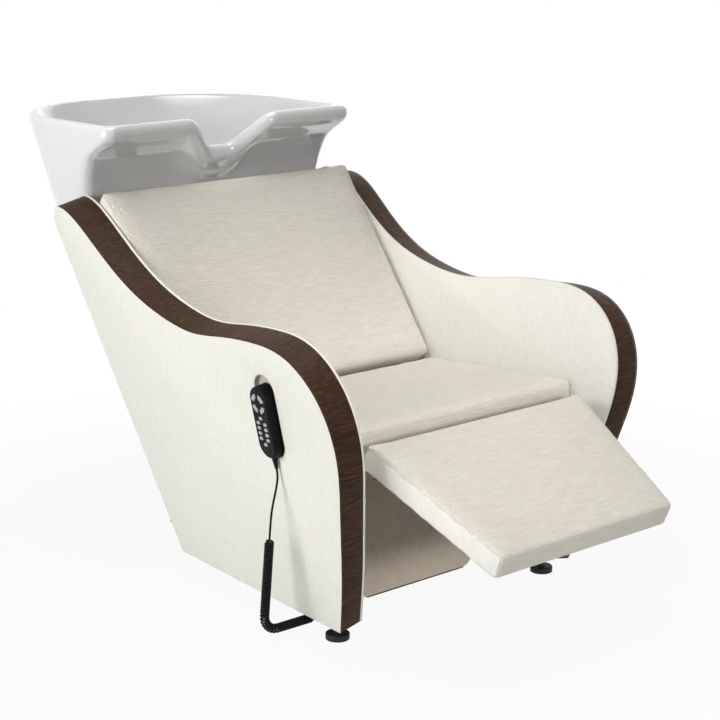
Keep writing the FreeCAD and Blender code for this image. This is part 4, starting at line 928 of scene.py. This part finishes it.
# Handset and its pocket
# A black moulded shell in two halves with soft grey keys, lying in a pale moulded well in the panel.
handset_plastic = plain_material("handset_plastic", (0.003, 0.003, 0.0034), 0.5, 0.1)
speckle_bump(handset_plastic, 1100, 0.10, 0.0003)
key_rubber = plain_material("key_rubber", (0.42, 0.42, 0.425), 0.55, 0.3)
speckle_bump(key_rubber, 1400, 0.08, 0.0002)
pocket_plastic = plain_material("pocket_plastic", (0.56, 0.51, 0.44), 0.5)
speckle_bump(pocket_plastic, 500, 0.12, 0.0004)
for node in ("handset_back_shell", "handset_front_shell"):
    dress(node, "handset", handset_plastic, 0.0012)
dress("strain_relief", "handset", cord_rubber, 0.0004, 2)
dress("pocket_liner", "chair", pocket_plastic, 0.0007, 2)
for node in sorted(frame["nodes"]):
    if node.startswith(("ring_key", "oval_key")):
        dress(node, node, key_rubber, 0.0005, 2)

# Feet
# Turned rubber pads on threaded steel stems, two under the panels' front and two under the rails.
foot_rubber = plain_material("foot_rubber", (0.006, 0.006, 0.006), 0.6, 0.3)
speckle_bump(foot_rubber, 900, 0.15, 0.0005)
dress("foot_pads", "chair", foot_rubber, 0.0012, 3)

# Timber, steel and plastic underneath
# Plywood boards, black powder-coated steel, ground steel shafts, moulded housings and the basin's waste.
timber = plain_material("plywood", (0.55, 0.41, 0.26), 0.6, 0.3)
timber_shader = timber.node_tree.nodes["Principled BSDF"]
timber_coordinates = add_node(timber, "ShaderNodeTexCoord")
timber_mapping = add_node(timber, "ShaderNodeMapping")
timber_mapping.inputs["Scale"].default_value = (6, 60, 60)
timber_grain = add_node(timber, "ShaderNodeTexNoise", Scale=1.0, Detail=4.0)
timber_ramp = add_node(timber, "ShaderNodeValToRGB")
timber_ramp.color_ramp.elements[0].color = (0.45, 0.31, 0.18, 1)
timber_ramp.color_ramp.elements[1].color = (0.62, 0.48, 0.32, 1)
link(timber, timber_coordinates.outputs["Object"], timber_mapping.inputs["Vector"])
link(timber, timber_mapping.outputs["Vector"], timber_grain.inputs["Vector"])
link(timber, timber_grain.outputs["Fac"], timber_ramp.inputs["Fac"])
link(timber, timber_ramp.outputs["Color"], timber_shader.inputs["Base Color"])
painted_steel = plain_material("black_powder_coat", (0.020, 0.020, 0.021), 0.5)
speckle_bump(painted_steel, 450, 0.2, 0.0006)
bright_steel = plain_material("ground_steel", (0.58, 0.58, 0.59), 0.28)
bright_steel.node_tree.nodes["Principled BSDF"].inputs["Metallic"].default_value = 1.0
speckle_bump(bright_steel, 800, 0.05, 0.0003)
chrome = plain_material("polished_chrome", (0.72, 0.72, 0.73), 0.08)
chrome.node_tree.nodes["Principled BSDF"].inputs["Metallic"].default_value = 1.0
speckle_bump(chrome, 300, 0.02, 0.0003)
grey_plastic = plain_material("grey_plastic", (0.5, 0.5, 0.51), 0.45)
speckle_bump(grey_plastic, 500, 0.1, 0.0004)
slot_materials = {
    "timber": timber, "painted_steel": painted_steel, "bright_steel": bright_steel, "chrome": chrome,
    "grey_plastic": grey_plastic, "black_plastic": black_plastic, "kick_leatherette": kick_leather,
    "handset_plastic": handset_plastic, "panel_leatherette": panel_leather, "edge_band": band_leather,
    "seat_leatherette": seat_leather, "ceramic": glaze, "cord_rubber": cord_rubber,
    "pocket_plastic": pocket_plastic, "key_rubber": key_rubber, "foot_rubber": foot_rubber,
}
for subpart in frame["record"]["subparts"]:
    node = frame["nodes"][subpart["node"]]
    material = slot_materials[subpart["material_slot"]]
    if subpart["node"].endswith("_panel_core"):
        material = panel_leather
    node.data.materials.clear()
    node.data.materials.append(material)
